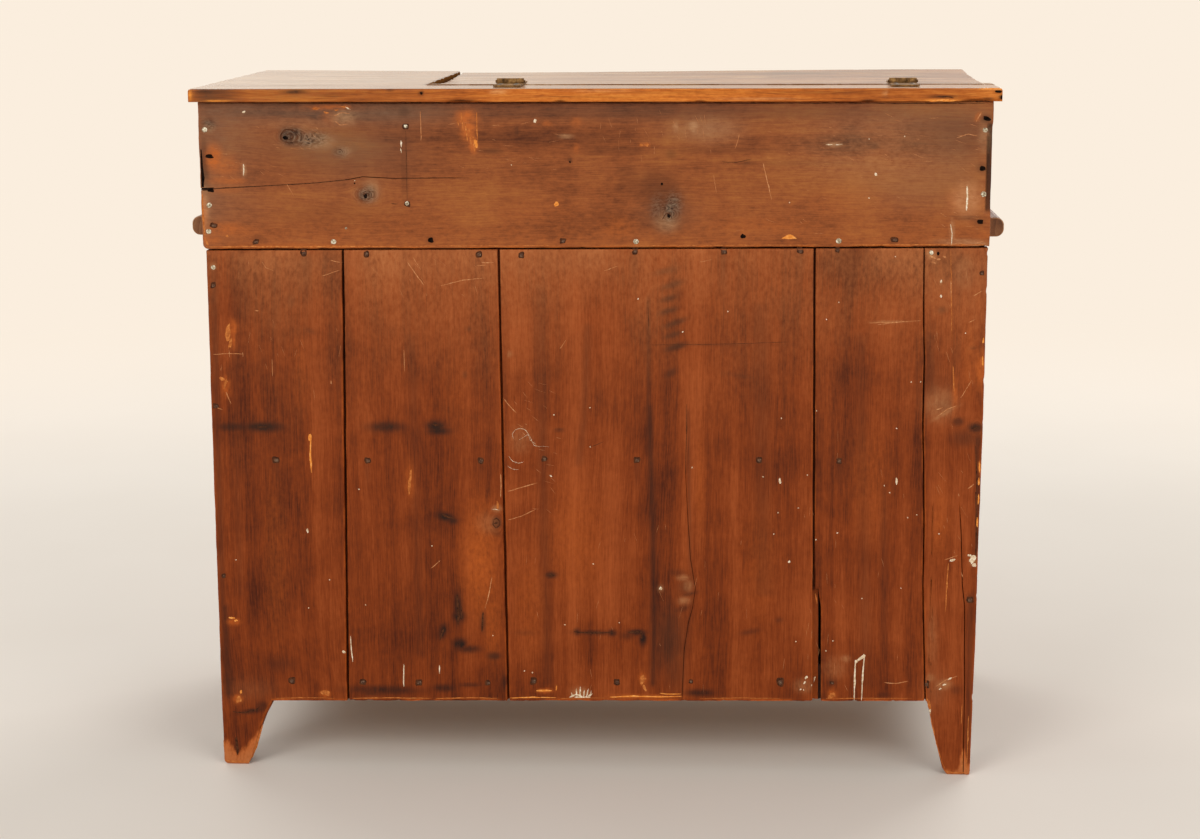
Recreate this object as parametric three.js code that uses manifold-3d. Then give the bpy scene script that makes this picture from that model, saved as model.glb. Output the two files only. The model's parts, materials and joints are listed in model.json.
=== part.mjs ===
// A country dry sink cabinet: a nailed pine case with a lidded well above two panelled doors.
// The front faces -Y, the back boards face +Y, and the feet stand on Z = 0. Sizes are in millimetres.
import * as THREE from "three";
import { mergeVertices } from "three/addons/utils/BufferGeometryUtils.js";
import Module from "manifold-3d";

const wasm = await Module();
wasm.setup();

// The top: a narrow hinge rail along the back, a fixed board over the drawer, a lid over the well.
const topWidth = 914;
const topDepth = 444;
const topHeight = 805;
const topThickness = 15;
const topEndOverhang = 12;
const topBackOverhang = 8;
const topFrontOverhang = 16;
const hingeRailDepth = 73;
const fixedBoardLength = 258.5;
const lidEndGap = 2.5;
const lidBackGap = 1;
const lidCup = 2.6;

// The case: side boards, floors housed in them, a face frame and the back boards. The well floor is
// level with the middle rail, so that the drawer runs on both.
const sideThickness = 20;
const frameThickness = 20;
const backThickness = 18;
const housingDepth = 6;
const wellDepth = 153;
const wellFloorThickness = 24;
const upperRoomHeight = 250;
const shelfThickness = 20;
const bottomHeight = 117;
const bottomThickness = 20;
const dividerThickness = 20;

// The face frame.
const stileWidth = 60;
const centreStileWidth = 50;
const drawerStileWidth = 38;
const middleRailWidth = 41;
const bottomRailTop = 125;
const bottomRailWidth = 40;
const drawerRailWidth = 18;

// Feet: each corner's boards run down to the floor and taper.
const footTopWidth = 58;
const footBottomWidth = 29;
const sideFootTopWidth = 46;
const sideFootBottomWidth = 20;
const sideSkirtHeight = 85;

// The back: one level board over five upright lapped boards. The two long saw cuts slope a little,
// and the upper one lies behind the edge of the well floor, which both rows of nails go into.
const upperBoardOverhang = 3.5;
const seamDropRight = 14.5;
const seamDropLeft = 9.5;
const seamGap = 1.5;
const skirtHeightRight = 79.5;
const skirtHeightLeft = 91;
const lapWidth = 10;
const lapGap = 2.6;
const lapThickness = 9;
const boardSeamShares = [
  { top: 0.644, bottom: 0.662 },
  { top: 0.241, bottom: 0.23 },
  { top: -0.566, bottom: -0.584 },
  { top: -0.843, bottom: -0.872 },
];
const brokenLapHeight = 224;
const brokenLapRamp = 14;
const brokenLapWidth = 7;

// Lift cleats on the sides.
const cleatProjection = 23;
const cleatHeight = 22;
const cleatDrop = 145;
const cleatEndInset = 38;
const cleatNoseRadius = 9;

// Hinges: rolled knuckles round a fixed pin.
const lidHingeLength = 31;
const lidHingeLeafWidth = 46;
const lidHingeThickness = 1.8;
const lidHingeBarrelRadius = 3.7;
const lidHingePinRadius = 1.7;
const lidHingeMiddle = 14.5;
const lidHingeEndInset = 105;
const lidHingeJointInset = 98.6;
const doorHingeLength = 50;
const doorHingeLeafWidth = 17;
const doorHingeThickness = 1.6;
const doorHingeBarrelRadius = 3.2;
const doorHingePinRadius = 1.4;
const doorHingeMiddle = 18;
const doorHingeInset = 66;
const pinHeadLength = 1.6;
const knuckleGap = 0.3;
const pinClearance = 0.2;

// Doors: grooved stiles and rails round a panel with a bevelled back.
const doorGap = 2;
const doorThickness = 20;
const doorStileWidth = 55;
const doorTopRailWidth = 60;
const doorBottomRailWidth = 74;
const grooveWidth = 7;
const grooveDepth = 9;
const grooveSetback = 6;
const panelThickness = 11;
const panelBevelWidth = 32;

// Turned knobs, and the turn button on the centre stile.
const knobRadius = 15;
const knobNeckRadius = 7.5;
const knobFootRadius = 10;
const knobProjection = 28;
const knobFootShare = 0.14;
const knobNeckShare = 0.36;
const knobShoulderShare = 0.62;
const knobCrownShare = 0.86;
const knobTenonRadius = 5;
const knobTenonLength = 14;
const knobInset = 27;
const doorKnobDrop = 224;
const buttonLength = 76;
const buttonWidth = 19;
const buttonThickness = 9;
const buttonDrop = 144;
const buttonGap = 0.6;
const buttonBevel = 1.5;
const screwHeadRadius = 5;
const screwHeadHeight = 2.6;
const screwShankRadius = 2;
const screwDepth = 14;
const screwClearance = 0.3;

// The drawer: dovetailed front, nailed back, and a bottom held in grooves.
const drawerGap = 1.5;
const drawerBackRoom = 52;
const drawerFrontThickness = 20;
const drawerSideThickness = 12;
const drawerBackThickness = 12;
const drawerBottomThickness = 7;
const drawerBottomLift = 9;
const drawerGrooveDepth = 5;
const drawerRunningGap = 0.5;
const tailLength = 13;
const tailSlope = 3;
const tailCount = 3;
const tailShare = 0.6;
const guideHeight = 20;
const guideSetback = 30;

// Fits, eased edges and one overrun for every cut.
const seat = 0.3;
const arris = 1.2;
const overrun = 5;
const turnedSides = 20;
const barSides = 16;
const cupSteps = 10;
const knobSteps = 4;

// Places that follow from the sizes above.
const half = 0.5;
const caseWidth = topWidth - 2 * topEndOverhang;
const caseHalfWidth = caseWidth * half;
const topBackY = (topDepth - topFrontOverhang + knobProjection) * half;
const topFrontY = topBackY - topDepth;
const backFaceY = topBackY - topBackOverhang;
const caseFrontY = topFrontY + topFrontOverhang;
const frameBackY = caseFrontY + frameThickness;
const backInnerY = backFaceY - backThickness;
const caseTop = topHeight - topThickness;
const sideInnerX = caseHalfWidth - sideThickness;
const openingHalfWidth = caseHalfWidth - stileWidth;
const hingeRailFrontY = topBackY - hingeRailDepth;
const lidEndX = -topWidth * half;
const fixedBoardX = topWidth * half - fixedBoardLength;
const lidJointX = fixedBoardX - lidEndGap;
const lidLength = lidJointX - lidEndX;
const dividerX = lidJointX + lidEndGap * half;
const wellFloorHeight = caseTop - wellDepth;
const shelfHeight = wellFloorHeight - upperRoomHeight;
const seamHeightRight = wellFloorHeight - seamDropRight;
const seamHeightLeft = wellFloorHeight - seamDropLeft;
const cleatCentreHeight = caseTop - cleatDrop;
const openingBottom = bottomRailTop;
const openingTop = wellFloorHeight - middleRailWidth;
const doorKnobHeight = openingTop - doorKnobDrop;
const buttonHeight = openingTop - buttonDrop;
const drawerDepth = backInnerY - caseFrontY - drawerBackRoom;

// Finishes.
function finish(color, roughness, metalness = 0) {
  return new THREE.MeshStandardMaterial({ color, roughness, metalness });
}
const redPine = finish("#7c3c20", 0.6);
const brownPine = finish("#7a4529", 0.62);
const topPine = finish("#8a5733", 0.45);
const innerPine = finish("#a97f55", 0.75);
const footPine = finish("#6f3820", 0.65);
const turnedWood = finish("#5c2f1a", 0.5);
const hingeIron = finish("#6b6048", 0.5, 0.9);
const screwIron = finish("#565049", 0.5, 0.9);

// Outlines and solids.
const toX = new THREE.Matrix4().makeBasis(
  new THREE.Vector3(0, 1, 0),
  new THREE.Vector3(0, 0, 1),
  new THREE.Vector3(1, 0, 0),
);
const toY = new THREE.Matrix4().makeBasis(
  new THREE.Vector3(0, 0, 1),
  new THREE.Vector3(1, 0, 0),
  new THREE.Vector3(0, 1, 0),
);

// A prism of an outline, from 0 to depth along an axis: (y, z) points for x, (z, x) for y, (x, y) for z.
function prism(axis, points, depth) {
  const shape = new THREE.Shape(points.map(([u, v]) => new THREE.Vector2(u, v)));
  const geometry = new THREE.ExtrudeGeometry(shape, { depth, bevelEnabled: false });
  if (axis === "x") geometry.applyMatrix4(toX);
  if (axis === "y") geometry.applyMatrix4(toY);
  return geometry;
}

// A rectangle about its centre, with its corners planed off.
function easedRectangle(width, height, ease) {
  const u = width * half;
  const v = height * half;
  return [
    [u - ease, -v], [u, ease - v], [u, v - ease], [u - ease, v],
    [ease - u, v], [-u, v - ease], [-u, ease - v], [ease - u, -v],
  ];
}

// A board about its centre, sawn along one axis with its long edges eased.
function stick(axis, [sizeX, sizeY, sizeZ], ease = arris) {
  const sections = { x: [sizeY, sizeZ, sizeX], y: [sizeZ, sizeX, sizeY], z: [sizeX, sizeY, sizeZ] };
  const [width, height, length] = sections[axis];
  const geometry = prism(axis, easedRectangle(width, height, ease), length);
  const shift = -length * half;
  geometry.translate(axis === "x" ? shift : 0, axis === "y" ? shift : 0, axis === "z" ? shift : 0);
  return geometry;
}

function solidOf(geometry) {
  const bare = geometry.clone();
  bare.deleteAttribute("normal");
  bare.deleteAttribute("uv");
  const merged = mergeVertices(bare);
  return new wasm.Manifold(
    new wasm.Mesh({
      numProp: 3,
      vertProperties: merged.attributes.position.array,
      triVerts: new Uint32Array(merged.index.array),
    }),
  );
}

function geometryOf(solid) {
  const mesh = solid.getMesh();
  const geometry = new THREE.BufferGeometry();
  geometry.setAttribute("position", new THREE.BufferAttribute(mesh.vertProperties, 3));
  geometry.setIndex(new THREE.BufferAttribute(mesh.triVerts, 1));
  const faceted = geometry.toNonIndexed();
  faceted.computeVertexNormals();
  return faceted;
}

// A plain block between two corners, for cutting and joining.
function block([x0, x1], [y0, y1], [z0, z1]) {
  const geometry = new THREE.BoxGeometry(x1 - x0, y1 - y0, z1 - z0);
  geometry.translate((x0 + x1) * half, (y0 + y1) * half, (z0 + z1) * half);
  return solidOf(geometry);
}

// A round bar about the origin, along an axis.
function bar(axis, radius, length) {
  const geometry = new THREE.CylinderGeometry(radius, radius, length, barSides);
  if (axis === "x") geometry.rotateZ(Math.PI / 2);
  if (axis === "z") geometry.rotateX(Math.PI / 2);
  return solidOf(geometry);
}

function piece(name, geometry, material, parent, position = [0, 0, 0]) {
  const mesh = new THREE.Mesh(geometry, material);
  mesh.name = name;
  mesh.position.set(...position);
  parent.add(mesh);
  return mesh;
}

// A board that fills the room between two corners of its parent group.
function fill(name, axis, [x0, x1], [y0, y1], [z0, z1], material, parent) {
  const geometry = stick(axis, [x1 - x0, y1 - y0, z1 - z0]);
  return piece(name, geometry, material, parent, [(x0 + x1) * half, (y0 + y1) * half, (z0 + z1) * half]);
}

// Heights of the two sloping saw cuts across the back, at a distance x from the middle.
function slopedHeight(atRight, atLeft, x) {
  return (atRight + atLeft) * half + ((atRight - atLeft) * x) / caseWidth;
}
const seamHeight = (x) => slopedHeight(seamHeightRight, seamHeightLeft, x);
const skirtHeight = (x) => slopedHeight(skirtHeightRight, skirtHeightLeft, x);

const cabinet = new THREE.Group();
cabinet.name = "dry_sink_cabinet";
const carcase = new THREE.Group();
cabinet.add(carcase);

// Side boards, with tapered feet and three housings on the inner face.
function sideGeometry(sign) {
  const depth = backInnerY - frameBackY - 2 * seat;
  const y = depth * half;
  const outline = [
    [-y, 0], [sideFootBottomWidth - y, 0], [sideFootTopWidth - y, sideSkirtHeight],
    [y - sideFootTopWidth, sideSkirtHeight], [y - sideFootBottomWidth, 0], [y, 0],
    [y, caseTop - seat], [-y, caseTop - seat],
  ];
  const board = prism("x", outline, sideThickness);
  board.translate(sign > 0 ? 0 : -sideThickness, 0, 0);
  let solid = solidOf(board);
  const floors = [
    [bottomHeight, bottomThickness],
    [shelfHeight, shelfThickness],
    [wellFloorHeight, wellFloorThickness],
  ];
  for (const [height, thickness] of floors) {
    const reach = sign > 0 ? [-overrun, housingDepth] : [-housingDepth, overrun];
    const groove = block(reach, [-y - overrun, y + overrun], [height - thickness - seat, height + seat]);
    solid = solid.subtract(groove);
  }
  return geometryOf(solid);
}
const sideMidY = (backInnerY + frameBackY) * half;
piece("side_board_right", sideGeometry(1), redPine, carcase, [sideInnerX, sideMidY, 0]);
piece("side_board_left", sideGeometry(-1), redPine, carcase, [-sideInnerX, sideMidY, 0]);

// Floors, housed in the sides.
const floorReach = sideInnerX + housingDepth - seat;
const floorDepthRange = [frameBackY + seat, backInnerY - seat];
function floorBoard(name, height, thickness, material) {
  const heights = [height - thickness, height];
  fill(name, "x", [-floorReach, floorReach], floorDepthRange, heights, material, carcase);
}
floorBoard("bottom_board", bottomHeight, bottomThickness, innerPine);
floorBoard("middle_shelf", shelfHeight, shelfThickness, innerPine);
floorBoard("well_floor", wellFloorHeight, wellFloorThickness, innerPine);

// The divider between the well and the drawer, under the joint of lid and fixed top.
const dividerRange = [dividerX - dividerThickness * half, dividerX + dividerThickness * half];
const aboveFloor = [wellFloorHeight + seat, caseTop - seat];
fill("well_divider", "y", dividerRange, floorDepthRange, aboveFloor, innerPine, carcase);

// The face frame. Its outer stiles run down as the front feet.
function stileGeometry(sign) {
  const inner = -stileWidth * half;
  const outer = stileWidth * half;
  const skirt = bottomRailTop - bottomRailWidth;
  const outline = [
    [outer, 0], [outer, caseTop - seat], [inner, caseTop - seat],
    [inner, skirt], [outer - footBottomWidth, 0],
  ];
  const points = outline.map(([x, z]) => [z, sign * x]);
  const board = prism("y", points, frameThickness);
  board.translate(0, -frameThickness * half, 0);
  let solid = solidOf(board);
  for (const height of doorHingeHeights()) {
    const reach = sign > 0 ? [-overrun, doorHingeThickness + seat] : [-doorHingeThickness - seat, overrun];
    const front = -frameThickness * half;
    const mortise = block(
      reach.map((x) => x + sign * inner),
      [front - overrun, front + doorHingeLeafWidth],
      [height - doorHingeLength * half - seat, height + doorHingeLength * half + seat],
    );
    solid = solid.subtract(mortise);
  }
  return geometryOf(solid);
}

// Heights of the hinges of each door.
function doorHingeHeights() {
  return [openingBottom + doorHingeInset, openingTop - doorHingeInset];
}

const frameMidY = caseFrontY + frameThickness * half;
const stileMidX = caseHalfWidth - stileWidth * half;
piece("front_stile_right", stileGeometry(1), redPine, carcase, [stileMidX, frameMidY, 0]);
piece("front_stile_left", stileGeometry(-1), redPine, carcase, [-stileMidX, frameMidY, 0]);

const frameRange = [caseFrontY, frameBackY];
const railRange = [seat - openingHalfWidth, openingHalfWidth - seat];
const middleRailHeights = [openingTop, wellFloorHeight];
const bottomRailHeights = [bottomRailTop - bottomRailWidth, bottomRailTop];
fill("middle_rail", "x", railRange, frameRange, middleRailHeights, redPine, carcase);
fill("bottom_rail", "x", railRange, frameRange, bottomRailHeights, redPine, carcase);

const drawerStileRange = [dividerX - drawerStileWidth * half, dividerX + drawerStileWidth * half];
const upperFrameHeights = [wellFloorHeight + seat, caseTop - seat];
const apronRange = [railRange[0], drawerStileRange[0] - seat];
fill("well_apron", "x", apronRange, frameRange, upperFrameHeights, redPine, carcase);
fill("drawer_stile", "z", drawerStileRange, frameRange, upperFrameHeights, redPine, carcase);

const drawerOpening = [drawerStileRange[1], openingHalfWidth];
const drawerRailRange = [drawerOpening[0] + seat, drawerOpening[1] - seat];
const drawerRailHeights = [caseTop - drawerRailWidth, caseTop - seat];
fill("drawer_top_rail", "x", drawerRailRange, frameRange, drawerRailHeights, redPine, carcase);

// The centre stile, bored for the turn button's screw.
function centreStile() {
  const height = openingTop - openingBottom - 2 * seat;
  const middle = (openingTop + openingBottom) * half;
  const bore = bar("y", screwShankRadius + screwClearance, 2 * screwDepth);
  const front = -frameThickness * half;
  const hole = bore.translate([0, front, buttonHeight - middle]);
  const solid = solidOf(stick("z", [centreStileWidth, frameThickness, height])).subtract(hole);
  piece("centre_stile", geometryOf(solid), redPine, carcase, [0, frameMidY, middle]);
}
centreStile();

// The upper back board, over the ends of the sides.
function upperBackBoard() {
  const x = caseHalfWidth + upperBoardOverhang;
  const outline = [
    [seamHeight(-x), -x], [seamHeight(x), x], [caseTop - seat, x], [caseTop - seat, -x],
  ];
  piece("upper_back_board", prism("y", outline, backThickness), brownPine, carcase, [0, backInnerY, 0]);
}
upperBackBoard();

// Five upright back boards. Each is an outer layer and an inner one, set over by the width of the lap.
// The boards at the ends run down as the back feet.
function seamAt(index, z) {
  if (index === 0) return caseHalfWidth;
  if (index > boardSeamShares.length) return -caseHalfWidth;
  const shares = boardSeamShares[index - 1];
  const top = (seamHeightRight + seamHeightLeft) * half;
  const bottom = (skirtHeightRight + skirtHeightLeft) * half;
  const along = (z - bottom) / (top - bottom);
  return caseHalfWidth * (shares.bottom + (shares.top - shares.bottom) * along);
}

function layerOutline(index, setOver) {
  const last = boardSeamShares.length;
  const right = (z) => seamAt(index, z) - (index === 0 ? 0 : setOver + lapGap * half);
  const left = (z) => seamAt(index + 1, z) - (index === last ? 0 : setOver - lapGap * half);
  const corner = (edge, height) => {
    const x = edge(height(0));
    return [x, height(x)];
  };
  const topOf = (x) => seamHeight(x) - seamGap;
  const topLeft = corner(left, topOf);
  const topRight = corner(right, topOf);
  const lowRight = corner(right, skirtHeight);
  const lowLeft = corner(left, skirtHeight);
  if (index === 0) {
    const footInner = caseHalfWidth - footTopWidth;
    return [
      topLeft, topRight, [caseHalfWidth, 0], [caseHalfWidth - footBottomWidth, 0],
      [footInner, skirtHeight(footInner)], lowLeft,
    ];
  }
  if (index === last) {
    const footInner = footTopWidth - caseHalfWidth;
    return [
      topLeft, topRight, lowRight, [footInner, skirtHeight(footInner)],
      [footBottomWidth - caseHalfWidth, 0], [-caseHalfWidth, 0],
    ];
  }
  return [topLeft, topRight, lowRight, lowLeft];
}

function backBoardSolid(index) {
  const layer = (setOver) => prism("y", layerOutline(index, setOver).map(([x, z]) => [z, x]), lapThickness);
  const inner = solidOf(layer(lapWidth));
  const outer = solidOf(layer(0).translate(0, backThickness - lapThickness, 0));
  return inner.add(outer);
}

// The broken edge of the fourth board, where its outer lap has split off near the bottom.
function brokenLap(index) {
  const top = brokenLapHeight;
  const edge = (z) => seamAt(index, z) - lapGap * half;
  const low = -overrun;
  const outline = [
    [edge(top) + overrun, top], [edge(top), top],
    [edge(top - brokenLapRamp) - brokenLapWidth, top - brokenLapRamp],
    [edge(low) - brokenLapWidth, low], [edge(low) + overrun, low],
  ];
  const cut = prism("y", outline.map(([x, z]) => [z, x]), lapThickness + overrun);
  return solidOf(cut.translate(0, backThickness - lapThickness, 0));
}

const brokenBoard = 3;
for (let index = 0; index <= boardSeamShares.length; index += 1) {
  let solid = backBoardSolid(index);
  if (index === brokenBoard) solid = solid.subtract(brokenLap(index));
  piece(`back_board_${index + 1}`, geometryOf(solid), redPine, carcase, [0, backInnerY, 0]);
}

// The hinge rail and the fixed board of the top.
const topHeights = [caseTop, topHeight];
const topEnd = topWidth * half;
fill("hinge_rail", "x", [-topEnd, topEnd], [hingeRailFrontY, topBackY], topHeights, topPine, carcase);
const fixedBoardDepth = [topFrontY, hingeRailFrontY - seat];
fill("fixed_top_board", "x", [fixedBoardX, topEnd], fixedBoardDepth, topHeights, topPine, carcase);

// Lift cleats: a bar with a round nose along each side.
const caseDepth = backFaceY - caseFrontY;
function cleatGeometry(sign) {
  const v = cleatHeight * half;
  const noseV = v - cleatNoseRadius;
  const noseU = cleatProjection - cleatNoseRadius;
  const shape = new THREE.Shape();
  shape.moveTo(-v, 0);
  shape.lineTo(v, 0);
  shape.lineTo(v, noseU);
  shape.absarc(noseV, noseU, cleatNoseRadius, 0, Math.PI / 2, false);
  shape.absarc(-noseV, noseU, cleatNoseRadius, Math.PI / 2, Math.PI, false);
  shape.lineTo(-v, 0);
  const length = caseDepth - 2 * cleatEndInset;
  const options = { depth: length, bevelEnabled: false, curveSegments: cupSteps };
  const geometry = new THREE.ExtrudeGeometry(shape, options);
  geometry.applyMatrix4(toY);
  geometry.translate(0, -length * half, 0);
  if (sign < 0) geometry.rotateZ(Math.PI);
  return geometry;
}
const cleatY = (backFaceY + caseFrontY) * half;
const cleatX = caseHalfWidth + seat;
piece("lift_cleat_right", cleatGeometry(1), footPine, carcase, [cleatX, cleatY, cleatCentreHeight]);
piece("lift_cleat_left", cleatGeometry(-1), footPine, carcase, [-cleatX, cleatY, cleatCentreHeight]);

// One leaf of a hinge whose barrel lies along X. Its plate runs towards +Y, between two heights.
// A leaf that holds the pin has the outer knuckles, and the other one has the middle knuckle.
function hingeLeaf({ length, middle, leafWidth, plate, barrelRadius, pinRadius, holdsPin }) {
  const relief = barrelRadius + knuckleGap;
  const end = length * half;
  let leaf = block([-end, end], [relief, leafWidth], plate);
  const knuckles = holdsPin
    ? [[-end, -middle * half - knuckleGap], [middle * half + knuckleGap, end]]
    : [[-middle * half, middle * half]];
  for (const [from, to] of knuckles) {
    const knuckle = bar("x", barrelRadius, to - from).translate([(from + to) * half, 0, 0]);
    leaf = leaf.add(knuckle).add(block([from, to], [0, relief + knuckleGap], plate));
  }
  if (holdsPin) return leaf.add(bar("x", pinRadius, length + 2 * pinHeadLength));
  return leaf.subtract(bar("x", pinRadius + pinClearance, length));
}

// The lid, hung from the rail. The group's origin is on the axis of its hinges.
const lid = new THREE.Group();
const lidAxisY = hingeRailFrontY - lidBackGap * half;
const lidAxisHeight = topHeight + seat + lidHingeBarrelRadius;
lid.position.set(0, lidAxisY, lidAxisHeight);
cabinet.add(lid);

// The lid board has drawn up along its front and back edges, so its face is hollow.
function lidGeometry() {
  const back = -lidBackGap * half;
  const front = topFrontY - lidAxisY;
  const face = topHeight - lidAxisHeight;
  const thickness = topThickness - lidCup - seat;
  const steps = Array.from({ length: cupSteps + 1 }, (unused, i) => i / cupSteps);
  const hollow = (along) => face - lidCup * (1 - (2 * along - 1) ** 2);
  const upper = steps.map((along) => [front + (back - front) * along, hollow(along)]);
  const lower = upper.map(([y, z]) => [y, z - thickness]).reverse();
  const board = prism("x", [...upper, ...lower], lidLength);
  board.translate(lidEndX, 0, 0);
  return board;
}
piece("lid_board", lidGeometry(), topPine, lid);

const lidHingeXs = [lidEndX + lidHingeEndInset, lidJointX - lidHingeJointInset];
const lidHinge = {
  length: lidHingeLength,
  middle: lidHingeMiddle,
  leafWidth: lidHingeLeafWidth,
  plate: [-lidHingeBarrelRadius, lidHingeThickness - lidHingeBarrelRadius],
  barrelRadius: lidHingeBarrelRadius,
  pinRadius: lidHingePinRadius,
};
lidHingeXs.forEach((x, i) => {
  const side = i === 0 ? "left" : "right";
  const railLeaf = geometryOf(hingeLeaf({ ...lidHinge, holdsPin: true }));
  const lidLeaf = geometryOf(hingeLeaf({ ...lidHinge, holdsPin: false }).mirror([0, 1, 0]));
  piece(`lid_hinge_${side}_rail_leaf`, railLeaf, hingeIron, carcase, [x, lidAxisY, lidAxisHeight]);
  piece(`lid_hinge_${side}_lid_leaf`, lidLeaf, hingeIron, lid, [x, 0, 0]);
});

// A turned knob, lathed about Y, that stands out towards -Y from a face at Y = 0.
function knobGeometry() {
  const knobFootLength = knobProjection * knobFootShare;
  const knobNeckLength = knobProjection * knobNeckShare;
  const knobShoulder = knobProjection * knobShoulderShare;
  const knobCrown = knobProjection * knobCrownShare;
  const profile = new THREE.Path();
  profile.moveTo(0, -knobTenonLength);
  profile.lineTo(knobTenonRadius, -knobTenonLength);
  profile.lineTo(knobTenonRadius, seat);
  profile.lineTo(knobFootRadius, seat);
  profile.quadraticCurveTo(knobNeckRadius, knobFootLength, knobNeckRadius, knobNeckLength);
  profile.bezierCurveTo(knobNeckRadius, knobShoulder, knobRadius, knobNeckLength, knobRadius, knobShoulder);
  profile.bezierCurveTo(knobRadius, knobCrown, knobFootRadius, knobProjection, 0, knobProjection);
  const geometry = new THREE.LatheGeometry(profile.getPoints(knobSteps), turnedSides);
  geometry.rotateX(Math.PI);
  return geometry;
}
// Doors. Each group's origin is on its hinge axis, at the foot of the opening.
const doorHeight = openingTop - openingBottom - 2 * doorGap;
const doorWidth = openingHalfWidth - centreStileWidth * half - 2 * doorGap;
const doorAxisX = openingHalfWidth - doorGap * half;
const doorAxisY = caseFrontY - doorHingeBarrelRadius;
const grooveRange = [grooveSetback, grooveSetback + grooveWidth];

// A frame member's section across its width u and depth v: a groove runs along the edge at u = 0.
function groovedSection(width) {
  return [
    [0, 0], [width, 0], [width, doorThickness], [0, doorThickness],
    [0, grooveRange[1]], [grooveDepth, grooveRange[1]], [grooveDepth, grooveRange[0]], [0, grooveRange[0]],
  ];
}

// A panel about the origin of its face: a flat front, and a back bevelled down to a tongue.
function panelGeometry(width, height) {
  const tongue = grooveWidth - 2 * seat;
  const bevel = new THREE.ExtrudeGeometry(
    new THREE.Shape(easedRectangle(width - 2 * panelBevelWidth, height - 2 * panelBevelWidth, arris)
      .map(([u, v]) => new THREE.Vector2(u, v))),
    {
      depth: overrun,
      bevelEnabled: true,
      bevelSegments: 1,
      bevelThickness: panelThickness - tongue,
      bevelSize: panelBevelWidth - grooveDepth - seat,
    },
  );
  bevel.rotateX(-Math.PI / 2);
  bevel.translate(0, tongue - overrun, 0);
  const room = block([-width * half, width * half], [0, panelThickness], [-height * half, height * half]);
  const slab = block([-width * half, width * half], [0, tongue], [-height * half, height * half]);
  return geometryOf(slab.add(solidOf(bevel).intersect(room)));
}

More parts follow.
